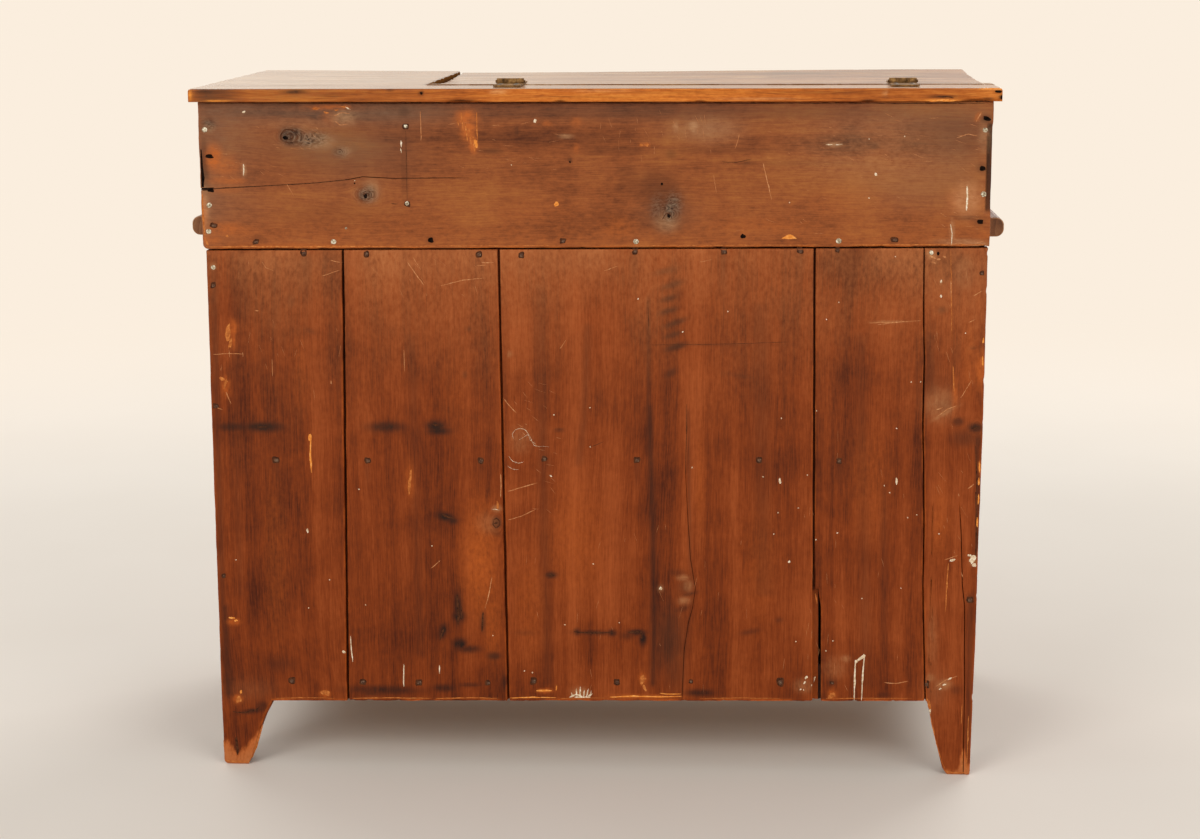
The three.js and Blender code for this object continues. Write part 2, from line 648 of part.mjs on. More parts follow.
function door(side, sign) {
  const group = new THREE.Group();
  group.position.set(sign * doorAxisX, doorAxisY, openingBottom + doorGap);
  cabinet.add(group);
  const faceY = caseFrontY - doorAxisY;
  const hingeEdge = -doorGap * half;
  const farEdge = hingeEdge - doorWidth;

  // Stiles, with the groove towards the panel. All x values here are for the door on the right.
  function doorStile(name, outerX, innerX) {
    const towards = Math.sign(outerX - innerX);
    const section = groovedSection(doorStileWidth);
    const outline = section.map(([u, v]) => [sign * (innerX + towards * u), faceY + v]);
    let solid = solidOf(prism("z", outline, doorHeight));
    if (outerX === hingeEdge) {
      for (const height of doorHingeHeights()) {
        const z = height - openingBottom - doorGap;
        const reach = [hingeEdge - doorHingeThickness - seat, hingeEdge + overrun].map((x) => sign * x);
        const mortise = block(
          reach.sort((a, b) => a - b),
          [faceY - overrun, faceY + doorHingeLeafWidth],
          [z - doorHingeLength * half - seat, z + doorHingeLength * half + seat],
        );
        solid = solid.subtract(mortise);
      }
    } else {
      const bore = bar("y", knobTenonRadius + seat, 2 * (knobTenonLength + seat));
      solid = solid.subtract(bore.translate([sign * (farEdge + knobInset), faceY, knobHeight]));
    }
    piece(`${side}_door_${name}`, geometryOf(solid), redPine, group);
  }
  const knobHeight = doorKnobHeight - openingBottom - doorGap;
  doorStile("hinge_stile", hingeEdge, hingeEdge - doorStileWidth);
  doorStile("latch_stile", farEdge, farEdge + doorStileWidth);

  // Rails between the stiles, with a stub tenon in each stile's groove.
  const railSpan = [farEdge + doorStileWidth + seat, hingeEdge - doorStileWidth - seat];
  const railX = (railSpan[0] + railSpan[1]) * half * sign;
  const railLength = railSpan[1] - railSpan[0];
  function doorRail(name, width, outerZ, towards) {
    const innerZ = outerZ + towards * width;
    const outline = groovedSection(width).map(([u, v]) => [faceY + v, innerZ - towards * u]);
    const rail = solidOf(prism("x", outline, railLength)).translate([-railLength * half, 0, 0]);
    const tenonHalf = railLength * half + grooveDepth - seat;
    const tenonZs = [outerZ, innerZ - towards * grooveDepth].sort((a, b) => a - b);
    const tenon = block(
      [-tenonHalf, tenonHalf],
      [faceY + grooveRange[0] + seat, faceY + grooveRange[1] - seat],
      tenonZs,
    );
    piece(`${side}_door_${name}`, geometryOf(rail.add(tenon)), redPine, group, [railX, 0, 0]);
  }
  doorRail("top_rail", doorTopRailWidth, doorHeight, -1);
  doorRail("bottom_rail", doorBottomRailWidth, 0, 1);

  const tongueReach = grooveDepth - seat;
  const panelSpan = [doorBottomRailWidth - tongueReach, doorHeight - doorTopRailWidth + tongueReach];
  const panelWidth = railLength + 2 * tongueReach;
  const panelHeight = panelSpan[1] - panelSpan[0];
  const panelPlace = [railX, faceY + grooveRange[0] + seat, (panelSpan[0] + panelSpan[1]) * half];
  piece(`${side}_door_panel`, panelGeometry(panelWidth, panelHeight), redPine, group, panelPlace);

  const knobPlace = [sign * (farEdge + knobInset), faceY, knobHeight];
  piece(`${side}_door_knob`, knobGeometry(), turnedWood, group, knobPlace);

  // Butt hinges: the barrel stands upright on the axis, and both leaves run back into the joint.
  ["lower", "upper"].forEach((level, i) => {
    const height = doorHingeHeights()[i];
    const plate = [doorGap * half, doorGap * half + doorHingeThickness];
    const sizes = {
      length: doorHingeLength,
      middle: doorHingeMiddle,
      leafWidth: doorHingeLeafWidth + doorHingeBarrelRadius - seat,
      plate,
      barrelRadius: doorHingeBarrelRadius,
      pinRadius: doorHingePinRadius,
    };
    const upright = (holdsPin, towardsFrame) => {
      const leaf = hingeLeaf({ ...sizes, holdsPin });
      const geometry = geometryOf(towardsFrame === sign > 0 ? leaf : leaf.mirror([0, 0, 1]));
      return geometry.rotateY(Math.PI / 2);
    };
    const frameLeafPlace = [sign * doorAxisX, doorAxisY, height];
    piece(`${side}_door_${level}_hinge_frame_leaf`, upright(true, true), hingeIron, carcase, frameLeafPlace);
    const doorLeafPlace = [0, 0, height - openingBottom - doorGap];
    piece(`${side}_door_${level}_hinge_door_leaf`, upright(false, false), hingeIron, group, doorLeafPlace);
  });
}

door("left", -1);
door("right", 1);

// The turn button that holds both doors shut, upright here so that they can open.
function turnButton() {
  const group = new THREE.Group();
  group.position.set(0, caseFrontY - buttonGap, buttonHeight);
  cabinet.add(group);
  const r = buttonWidth * half - buttonBevel;
  const reach = buttonLength * half - buttonBevel - r;
  const shape = new THREE.Shape();
  shape.absarc(0, reach, r, 0, Math.PI, false);
  shape.absarc(0, -reach, r, Math.PI, 2 * Math.PI, false);
  const body = new THREE.ExtrudeGeometry(shape, {
    depth: buttonThickness - 2 * buttonBevel,
    bevelEnabled: true,
    bevelSegments: 1,
    bevelThickness: buttonBevel,
    bevelSize: buttonBevel,
    curveSegments: cupSteps,
  });
  body.translate(0, 0, buttonBevel);
  body.rotateX(Math.PI / 2);
  const hole = bar("y", screwShankRadius + screwClearance, 2 * buttonThickness + overrun);
  piece("turn_button", geometryOf(solidOf(body).subtract(hole)), turnedWood, group);

  const head = screwHeadRadius;
  const under = buttonGap + buttonThickness + seat;
  const profile = new THREE.Path();
  profile.moveTo(0, screwClearance - screwDepth);
  profile.lineTo(screwShankRadius, screwClearance - screwDepth);
  profile.lineTo(screwShankRadius, under);
  profile.lineTo(head, under);
  profile.quadraticCurveTo(head * half, under + screwHeadHeight, 0, under + screwHeadHeight);
  const screw = new THREE.LatheGeometry(profile.getPoints(knobSteps), turnedSides);
  screw.rotateX(Math.PI);
  piece("turn_button_screw", screw, screwIron, carcase, [0, caseFrontY, buttonHeight]);
}
turnButton();

// The drawer, with the origin of its group at the lower left corner of its front.
const drawer = new THREE.Group();
const drawerX = [drawerOpening[0] + drawerGap, drawerOpening[1] - drawerGap];
const drawerWidth = drawerX[1] - drawerX[0];
const drawerFloorZ = wellFloorHeight + drawerRunningGap;
const drawerHeight = caseTop - drawerRailWidth - drawerGap - drawerFloorZ;
drawer.position.set(drawerX[0], caseFrontY, drawerFloorZ);
cabinet.add(drawer);

// The dovetails: fans that widen towards their ends, shared evenly up the side.
function tails(grow) {
  const pitch = drawerHeight / tailCount;
  return Array.from({ length: tailCount }, (unused, i) => {
    const middle = pitch * (i + half);
    const root = pitch * tailShare * half - tailSlope + grow;
    const end = pitch * tailShare * half + grow;
    const shoulder = drawerFrontThickness - grow;
    const tip = drawerFrontThickness - tailLength - grow;
    return [
      [middle - root, shoulder + overrun], [middle - root, shoulder],
      [middle - end, tip], [middle + end, tip],
      [middle + root, shoulder], [middle + root, shoulder + overrun],
    ];
  });
}

function tailSolid(outline, x, thickness) {
  const points = outline.map(([z, y]) => [y, z]);
  return solidOf(prism("x", points, thickness)).translate([x, 0, 0]);
}

const bottomGroove = [drawerBottomLift, drawerBottomLift + drawerBottomThickness];
const bottomSlot = [bottomGroove[0] - seat, bottomGroove[1] + seat];
function drawerSide(name, x, grooveX) {
  const y0 = drawerFrontThickness + seat;
  let solid = block([x, x + drawerSideThickness], [y0, drawerDepth], [0, drawerHeight]);
  for (const outline of tails(0)) solid = solid.add(tailSolid(outline, x, drawerSideThickness));
  const slot = block(grooveX, [-overrun, drawerDepth + overrun], bottomSlot);
  piece(name, geometryOf(solid.subtract(slot)), innerPine, drawer);
}
const rightSideX = drawerWidth - drawerSideThickness;
drawerSide("drawer_left_side", 0, [drawerSideThickness - drawerGrooveDepth, drawerSideThickness + overrun]);
drawerSide("drawer_right_side", rightSideX, [rightSideX - overrun, rightSideX + drawerGrooveDepth]);

function drawerFront() {
  let solid = block([0, drawerWidth], [0, drawerFrontThickness], [0, drawerHeight]);
  for (const outline of tails(seat)) {
    const socket = drawerSideThickness + seat + overrun;
    solid = solid.subtract(tailSolid(outline, -overrun, socket));
    solid = solid.subtract(tailSolid(outline, rightSideX - seat, socket));
  }
  const grooveY = drawerFrontThickness - drawerGrooveDepth;
  const slot = block(
    [drawerSideThickness - drawerGrooveDepth, rightSideX + drawerGrooveDepth],
    [grooveY, drawerFrontThickness + overrun],
    bottomSlot,
  );
  const bore = bar("y", knobTenonRadius + seat, 2 * (knobTenonLength + seat));
  const hole = bore.translate([drawerWidth * half, 0, drawerHeight * half]);
  piece("drawer_front", geometryOf(solid.subtract(slot).subtract(hole)), redPine, drawer);
}
drawerFront();

const drawerInnerX = [drawerSideThickness + seat, rightSideX - seat];
const drawerBackY = [drawerDepth - drawerBackThickness, drawerDepth];
const drawerBackZ = [bottomGroove[1] + seat, drawerHeight];
fill("drawer_back", "x", drawerInnerX, drawerBackY, drawerBackZ, innerPine, drawer);
const bottomX = [drawerSideThickness - drawerGrooveDepth + seat, rightSideX + drawerGrooveDepth - seat];
const bottomY = [drawerFrontThickness - drawerGrooveDepth + seat, drawerDepth];
fill("drawer_bottom", "x", bottomX, bottomY, bottomGroove, innerPine, drawer);
piece("drawer_knob", knobGeometry(), turnedWood, drawer, [drawerWidth * half, 0, drawerHeight * half]);

// Guides that keep the drawer straight: one on the divider, one out to the side board.
const guideY = [frameBackY + seat, backInnerY - guideSetback];
const guideZ = [wellFloorHeight + seat, wellFloorHeight + seat + guideHeight];
const leftGuideX = [dividerRange[1] + seat, drawerX[0] - drawerRunningGap];
const rightGuideX = [drawerX[1] + drawerRunningGap, sideInnerX - seat];
fill("drawer_guide_left", "y", leftGuideX, guideY, guideZ, innerPine, carcase);
fill("drawer_guide_right", "y", rightGuideX, guideY, guideZ, innerPine, carcase);

export default cabinet;
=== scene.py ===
# A country dry sink cabinet, seen from behind: nailed pine boards under an old red wash.
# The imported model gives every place; this script gives the boards their worn faces, the nails and the finishes.
import bmesh
import bpy
import json
import math
import numpy as np
from mathutils import Matrix, Vector


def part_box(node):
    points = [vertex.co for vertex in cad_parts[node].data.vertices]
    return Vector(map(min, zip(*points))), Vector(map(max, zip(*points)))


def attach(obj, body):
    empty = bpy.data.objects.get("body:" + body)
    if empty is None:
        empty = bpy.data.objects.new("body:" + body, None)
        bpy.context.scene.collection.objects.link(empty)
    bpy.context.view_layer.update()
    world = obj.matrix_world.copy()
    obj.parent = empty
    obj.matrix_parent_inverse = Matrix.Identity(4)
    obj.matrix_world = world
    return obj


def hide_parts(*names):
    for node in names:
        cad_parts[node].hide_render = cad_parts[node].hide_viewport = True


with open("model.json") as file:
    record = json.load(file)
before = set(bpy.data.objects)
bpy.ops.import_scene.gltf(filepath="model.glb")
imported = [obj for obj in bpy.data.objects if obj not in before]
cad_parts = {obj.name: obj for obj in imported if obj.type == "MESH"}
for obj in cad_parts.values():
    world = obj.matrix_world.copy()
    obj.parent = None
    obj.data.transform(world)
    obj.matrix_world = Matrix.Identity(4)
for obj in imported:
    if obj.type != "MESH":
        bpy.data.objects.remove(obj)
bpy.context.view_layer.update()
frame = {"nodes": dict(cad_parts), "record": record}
scene = bpy.context.scene
mm = 0.001  # sizes below are in millimetres, and meshes and textures are in metres

# The photograph's camera, from a fit to the corners of the cabinet: its frame in pixels, its place in
# millimetres, and its turns in degrees. It stands behind the cabinet and looks a little down.
view = {
    "width": 1200,
    "height": 839,
    "focal": 2266.8,
    "sensor": 36.0,
    "place": (-151.0, 2781.0, 946.2),
    "yaw": -3.199,
    "pitch": 11.472,
    "roll": -0.25,
}


def cameraAxes():
    # right, up and forward: a level camera that looks along -Y, turned by yaw, tipped by pitch, then rolled
    yaw, pitch, roll = (math.radians(view[k]) for k in ("yaw", "pitch", "roll"))
    right = np.array([-math.cos(yaw), math.sin(yaw), 0])
    forward = np.array([-math.sin(yaw) * math.cos(pitch), -math.cos(yaw) * math.cos(pitch), -math.sin(pitch)])
    up = np.cross(right, forward)
    rolledRight = right * math.cos(roll) + up * math.sin(roll)
    rolledUp = up * math.cos(roll) - right * math.sin(roll)
    return rolledRight, rolledUp, forward


def makeCamera():
    right, up, forward = cameraAxes()
    data = bpy.data.cameras.new("camera")
    data.sensor_fit = "HORIZONTAL"
    data.sensor_width = view["sensor"]
    data.lens = view["focal"] * view["sensor"] / view["width"]
    camera = bpy.data.objects.new("camera", data)
    matrix = Matrix([list(row) + [0] for row in np.array([right, up, -forward]).T] + [[0, 0, 0, 1]])
    matrix.translation = Vector(view["place"]) * mm
    camera.matrix_world = matrix
    scene.collection.objects.link(camera)
    scene.camera = camera


makeCamera()
print("camera placed")

# Sizes of the cabinet, from the frame.
boxOf = {name: np.array([list(c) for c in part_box(name)]) / mm for name in frame["nodes"]}
backFace = boxOf["back_board_3"][1][1]
backInner = boxOf["back_board_3"][0][1]
lapDepth = (backFace + backInner) / 2
topHeight = boxOf["hinge_rail"][1][2]


def rays(pixels):
    # the direction of each pixel: forward, plus the pixel's offset from the middle over the focal length
    right, up, forward = cameraAxes()
    offset = (np.array(pixels, float) - [view["width"] / 2, view["height"] / 2]) / view["focal"]
    return forward + offset[..., :1] * right - offset[..., 1:] * up


def onBack(pixels, y=None):
    # x and z where each pixel's ray meets an upright plane that faces the camera
    ray = rays(pixels)
    reach = ((backFace if y is None else y) - view["place"][1]) / ray[..., 1]
    return view["place"][0] + ray[..., 0] * reach, view["place"][2] + ray[..., 2] * reach


def smooth(t):
    # a step from 0 to 1 that starts and ends level
    t = np.clip(t, 0, 1)
    return t * t * (3 - 2 * t)


# Smooth value noise: random heights on a unit lattice, blended with a smooth step, from -1 to 1.
latticeSize = 256


def noise(u, v, seed):
    lattice = np.random.default_rng(seed).random((latticeSize, latticeSize)) * 2 - 1
    u, v = np.broadcast_arrays(np.asarray(u, float), np.asarray(v, float))
    i, j = np.floor(u).astype(int), np.floor(v).astype(int)
    shareU, shareV = smooth(u - i), smooth(v - j)
    i, j, i1, j1 = i % latticeSize, j % latticeSize, (i + 1) % latticeSize, (j + 1) % latticeSize
    low = lattice[i, j] * (1 - shareU) + lattice[i1, j] * shareU
    high = lattice[i, j1] * (1 - shareU) + lattice[i1, j1] * shareU
    return low * (1 - shareV) + high * shareV


def rough(u, v, seed, octaves=3):
    # noise summed over octaves, each twice as fine and half as high
    return sum(noise(u * 2**k, v * 2**k, seed + k) / 2**k for k in range(octaves))


# Uneven lines: the height and length of their waves in millimetres.
waves = {
    "seam": (0.25, 45), "rightSide": (0.15, 30), "leftSide": (0.15, 20), "skirt": (0.25, 12), "scuff": (2.5, 5),
    "levelSeam": (0.2, 40), "levelLeft": (0.35, 18), "levelRight": (0.15, 18), "brokenEdge": (1.2, 9),
    "stroke": (0.25, 7),
}
# Chips along an edge: their depth and length in millimetres, how sharply they start and how seldom they come. Where
# they deepen a rounded edge or darken a face, the depth is a share.
chips = {
    "rightSide": (0.8, 14, 2.2, 1.2), "skirt": (1.0, 9, 2.0, 1.2), "levelSeam": (0.5, 13, 2.0, 1.2),
    "corners": (0.8, 20, 1.4, 0.0), "levelCorners": (1.0, 18, 1.4, 0.0), "topCorners": (1.0, 16, 1.4, 0.0),
}


def waver(kind, place, row, seed, octaves=3):
    high, long = waves[kind]
    return high * rough(place / long, row, seed, octaves)


def chipped(kind, place, row, seed):
    deep, long, sharp, seldom = chips[kind]
    return deep * smooth(sharp * rough(place / long, row, seed) - seldom)


def linear(code):
    # an sRGB hex colour as linear red, green, blue and 1
    value = np.array([int(code[i : i + 2], 16) / 255 for i in (1, 3, 5)])
    value = np.where(value <= 0.04045, value / 12.92, ((value + 0.055) / 1.055) ** 2.4)
    return (*value.tolist(), 1.0)


facesUp = 0.6  # a face looks up when the height of its normal is more than this


def makeMesh(name, points, faces, material, body, replaced=(), attributes=None, crease=35, slot=None, upper=None):
    # a finished piece: its mesh in metres, shaded smooth but for edges sharper than the crease angle. Faces that
    # look up take the upper material, if there is one.
    mesh = bpy.data.meshes.new(name)
    mesh.from_pydata((np.asarray(points, float) * mm).tolist(), [], faces)
    mesh.update()
    for key, values in (attributes or {}).items():
        kind = "FLOAT_COLOR" if values.shape[-1] == 4 else "FLOAT_VECTOR"
        target = mesh.attributes.new(key, kind, "POINT")
        target.data.foreach_set("color" if kind == "FLOAT_COLOR" else "vector", values.astype(np.float32).ravel())
    mesh.polygons.foreach_set("use_smooth", np.ones(len(mesh.polygons), bool))
    mesh.set_sharp_from_angle(angle=math.radians(crease))
    mesh.materials.append(material)
    if upper:
        normals = np.empty(len(mesh.polygons) * 3)
        mesh.polygons.foreach_get("normal", normals)
        mesh.materials.append(upper)
        mesh.polygons.foreach_set("material_index", (normals[2::3] > facesUp).astype(np.int32))
    piece = bpy.data.objects.new(name, mesh)
    scene.collection.objects.link(piece)
    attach(piece, body)
    if replaced:
        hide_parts(*replaced)
    return piece


# The faces of one cell of a warped grid. A corner is (level, row, column), and each face is wound so that it
# looks out of the cell: outwards, inwards, then towards higher and lower columns and rows.
cellSides = [
    ((-1, 0, 0), [(0, 0, 0), (0, 0, 1), (0, 1, 1), (0, 1, 0)]),
    ((1, 0, 0), [(1, 0, 0), (1, 1, 0), (1, 1, 1), (1, 0, 1)]),
    ((0, 0, 1), [(1, 0, 1), (1, 1, 1), (0, 1, 1), (0, 0, 1)]),
    ((0, 0, -1), [(1, 0, 0), (0, 0, 0), (0, 1, 0), (1, 1, 0)]),
    ((0, 1, 0), [(1, 1, 0), (0, 1, 0), (0, 1, 1), (1, 1, 1)]),
    ((0, -1, 0), [(1, 0, 0), (1, 0, 1), (0, 0, 1), (0, 0, 0)]),
]


def slabMesh(name, across, along, levels, solid, axes, material, body, replaced=(), attributes=None, slot=None,
             upper=None):
    # A board as cells of a warped grid: across and along are each corner's place in the board's plane, levels
    # its depths, outermost first, and solid says which cells hold wood in each layer between two levels. The
    # skin is every cell side with wood on one side only. axes are the directions of across, along and outwards.
    solid = np.array(solid, bool)
    layers, rows, columns = solid.shape
    index = np.arange((layers + 1) * (rows + 1) * (columns + 1)).reshape(layers + 1, rows + 1, columns + 1)
    padded = np.pad(solid, 1)
    mirrored = np.linalg.det(np.array(axes, float)) < 0
    faces = []
    for (dk, dr, dc), corners in cellSides:
        beside = padded[1 + dk : 1 + dk + layers, 1 + dr : 1 + dr + rows, 1 + dc : 1 + dc + columns]
        bare = solid & ~beside
        quad = np.stack([index[k : k + layers, r : r + rows, c : c + columns][bare] for k, r, c in corners], -1)
        faces.append(quad[:, ::-1] if mirrored else quad)
    faces = np.concatenate(faces)
    used, faces = np.unique(faces, return_inverse=True)
    flat = [np.broadcast_to(a, index.shape).ravel()[used] for a in (across, along, np.array(levels))]
    points = sum(np.outer(a, direction) for a, direction in zip(flat, np.array(axes, float)))
    kept = {k: np.broadcast_to(v, index.shape + v.shape[-1:]).reshape(-1, v.shape[-1])[used]
            for k, v in (attributes or {}).items()}
    return makeMesh(name, points, faces.reshape(-1, 4).tolist(), material, body, replaced, kept, slot=slot,
                    upper=upper)


# Places near a worn edge, in millimetres from it; the length under which they move closer together; and how far
# past them the even places go on.
wornPlaces = {"steps": np.array([0, 0.35, 0.9, 1.7, 2.8]), "shortest": 12, "clear": 1.3}


def spread(start, end, step, fineStart=False, fineEnd=False):
    # shares from 0 to 1 in steps of about one size, closer together at a worn edge
    length = abs(end - start)
    edge = wornPlaces["steps"] / max(length, wornPlaces["shortest"])
    clear = edge[-1] * wornPlaces["clear"]
    inner = np.linspace(0, 1, max(2, int(round(length / step)) + 1))
    if fineStart:
        inner = np.concatenate([edge, inner[inner > clear]])
    if fineEnd:
        inner = np.concatenate([inner[inner < 1 - clear], 1 - edge[::-1]])
    return inner


# Materials.
def addNode(tree, kind, inputs=None, stops=None, **settings):
    # one node with its settings; an input is a value or another node's output, and stops are a ramp's colours
    made = tree.nodes.new(kind)
    for key, value in settings.items():
        setattr(made, key, value)
    for key, value in (inputs or {}).items():
        if isinstance(value, bpy.types.NodeSocket):
            tree.links.new(value, made.inputs[key])
        else:
            made.inputs[key].default_value = value
    if stops:
        ramp = made.color_ramp
        while len(ramp.elements) < len(stops):
            ramp.elements.new(0.5)
        for element, (place, code) in zip(ramp.elements, stops):
            element.position = place
            element.color = linear(code)
    return made


def calculated(tree, operation, first, second, third=0.5, clamp=False):
    # the result of one sum on values or outputs
    return addNode(tree, "ShaderNodeMath", {0: first, 1: second, 2: third}, operation=operation,
                   use_clamp=clamp).outputs[0]


def vectored(tree, operation, first, second):
    return addNode(tree, "ShaderNodeVectorMath", {0: first, 1: second}, operation=operation).outputs[0]


def blended(tree, share, first, second):
    # two colours, mixed by a share of the second
    return addNode(tree, "ShaderNodeMix", {0: share, 6: first, 7: second}, data_type="RGBA").outputs[2]


def mapped(tree, value, low, high, toLow=0.0, toHigh=1.0):
    # a value between low and high as its share of the way, or as a value between two others
    return addNode(tree, "ShaderNodeMapRange", {"Value": value, "From Min": low, "From Max": high, "To Min": toLow,
                   "To Max": toHigh}).outputs[0]


def noiseNode(tree, vector, scale, detail, sharpness=0.5, twist=0.0):
    return addNode(tree, "ShaderNodeTexNoise", {"Vector": vector, "Scale": scale, "Detail": detail,
                   "Roughness": sharpness, "Distortion": twist}).outputs[0]


def blankMaterial(name):
    # a new material, its nodes and its shader
    material = bpy.data.materials.new(name)
    material.use_nodes = True
    return material, material.node_tree, material.node_tree.nodes["Principled BSDF"]


def wire(tree, shader, colour, roughness, height, bump, lift):
    # a shader's colour, its roughness and the relief of its surface, whose lift is in millimetres
    bump = addNode(tree, "ShaderNodeBump", {"Height": height, "Strength": bump, "Distance": lift * mm})
    for key, output in (("Base Color", colour), ("Roughness", roughness), ("Normal", bump.outputs[0])):
        tree.links.new(output, shader.inputs[key])


# The figure of old pine, shared by every board. Its grain coordinates are across the board, along it and
# through it, in metres. Sizes are in millimetres: bands are the growth rings, streaks the wider tones of a
# board, fibres the fine lines of the grain, blotches the uneven wash and specks the small dents and dirt. Real
# fibres are far finer than 1 mm, and are drawn that wide so that they show.
figure = {
    "bandWidth": 7.0,
    "bandStretch": 60.0,
    "bandWander": 22.0,
    "streakWidth": 26.0,
    "streakLength": 620.0,
    "fibreWidth": 1.2,
    "fibreLength": 26.0,
    "blotchSize": 90.0,
    "speckSize": 4.0,
    "pithDepth": 70.0,
}
toneStops = (0.08, 0.5, 0.92)  # the tones that show as a finish's dark, middle and light colour
grooves = {"rings": 0.35, "fibres": 0.9, "specks": 0.35}  # how far each part of the figure stands out


def pineGroup():
    tree = bpy.data.node_groups.new("old_pine_figure", "ShaderNodeTree")
    for kind, side, names in (
        ("Vector", "INPUT", ("Grain",)), ("Color", "INPUT", ("Dark", "Middle", "Light")),
        ("Float", "INPUT", ("Bands", "Streaks", "Fibres", "Blotches", "Specks", "Shift")),
        ("Color", "OUTPUT", ("Color",)), ("Float", "OUTPUT", ("Tone", "Height", "Speck")),
    ):
        for name in names:
            tree.interface.new_socket(name, in_out=side, socket_type="NodeSocket" + kind)
    given = addNode(tree, "NodeGroupInput").outputs
    size = {key: value * mm for key, value in figure.items()}
    wide, long = size["streakWidth"], size["streakLength"]

    def noiseOf(sizes, detail, sharpness=0.5, twist=0.0):
        return noiseNode(tree, vectored(tree, "DIVIDE", given["Grain"], sizes), 1.0, detail, sharpness, twist)

    def centred(value, amount):
        # the noise about its middle, times an amount
        return calculated(tree, "MULTIPLY", calculated(tree, "SUBTRACT", value, 0.5), amount)

    def total(*values):
        done = values[0]
        for value in values[1:]:
            done = calculated(tree, "ADD", done, value)
        return done

    # growth rings round a pith below the board, stretched along the grain, so that a board's face shows long
    # arches and its end shows arcs
    shift = centred(noiseOf((wide * 2, long / 2, wide * 2), 2.0), size["bandWander"])
    ringPlace = vectored(tree, "MULTIPLY", given["Grain"], (1, 1 / figure["bandStretch"], 1))
    offset = addNode(tree, "ShaderNodeCombineXYZ", {0: shift, 2: size["pithDepth"]}).outputs[0]
    ringPlace = vectored(tree, "ADD", ringPlace, offset)
    rings = addNode(tree, "ShaderNodeTexWave", {"Vector": ringPlace, "Distortion": 0.7, "Detail": 2.0,
                    "Scale": math.pi / 10 / size["bandWidth"], "Detail Scale": 0.4},
                    wave_type="RINGS", rings_direction="Y", wave_profile="SAW").outputs[1]
    streak = noiseOf((wide, long, wide), 3.0, 0.55, 0.2)
    fibre = noiseOf((size["fibreWidth"], size["fibreLength"], size["fibreWidth"]), 4.0, 0.6)
    blotch = noiseOf((size["blotchSize"],) * 3, 4.0, 0.6, 0.4)
    speck = noiseOf((size["speckSize"], size["speckSize"] * 2, size["speckSize"]), 3.0, 0.65)
    parts = {"Bands": rings, "Streaks": streak, "Fibres": fibre, "Blotches": blotch, "Specks": speck}
    tone = total(0.5, *(centred(part, given[key]) for key, part in parts.items()), given["Shift"])
    low, middle, high = toneStops
    colour = blended(tree, mapped(tree, tone, low, middle), given["Dark"], given["Middle"])
    colour = blended(tree, mapped(tree, tone, middle, high), colour, given["Light"])
    height = total(centred(rings, grooves["rings"]), centred(fibre, grooves["fibres"]),
                   centred(speck, grooves["specks"]))
    addNode(tree, "NodeGroupOutput", {"Color": colour, "Tone": tone, "Height": height, "Speck": speck})
    return tree


pineFigure = pineGroup()

# Object coordinates as grain coordinates, for boards whose grain runs along x, y or z.
grainOrder = {"x": (1, 0, 2), "y": (0, 1, 2), "z": (0, 2, 1)}


def grainOf(tree, grain, shift):
    if grain == "attribute":
        return addNode(tree, "ShaderNodeAttribute", attribute_name="grain").outputs["Vector"]
    place = addNode(tree, "ShaderNodeTexCoord").outputs["Object"]
    parts = addNode(tree, "ShaderNodeSeparateXYZ", {0: place}).outputs
    turned = addNode(tree, "ShaderNodeCombineXYZ", {i: parts[k] for i, k in enumerate(grainOrder[grain])})
    return addNode(tree, "ShaderNodeMapping", {"Vector": turned.outputs[0], "Location": shift}).outputs[0]


# The curly wood in a knot: its sizes in millimetres, its twist, and the noise that shows as dark and as light.
knotGrain = {"across": 2.6, "along": 7.0, "twist": 1.6, "low": 0.42, "high": 0.58}
# How strongly fine noise breaks up the veil and each kind of mark, in the order of the mark colours' channels.
patchy = {"veil": 1.2, "stain": 1.2, "worn": 2.2, "pale": 2.4, "knot": 1.6}
# How much duller wood is where its tone is low, and how much shinier where it is high.
toneShine = {"low": 0.1, "duller": 0.08, "high": 0.9, "shinier": 0.06}


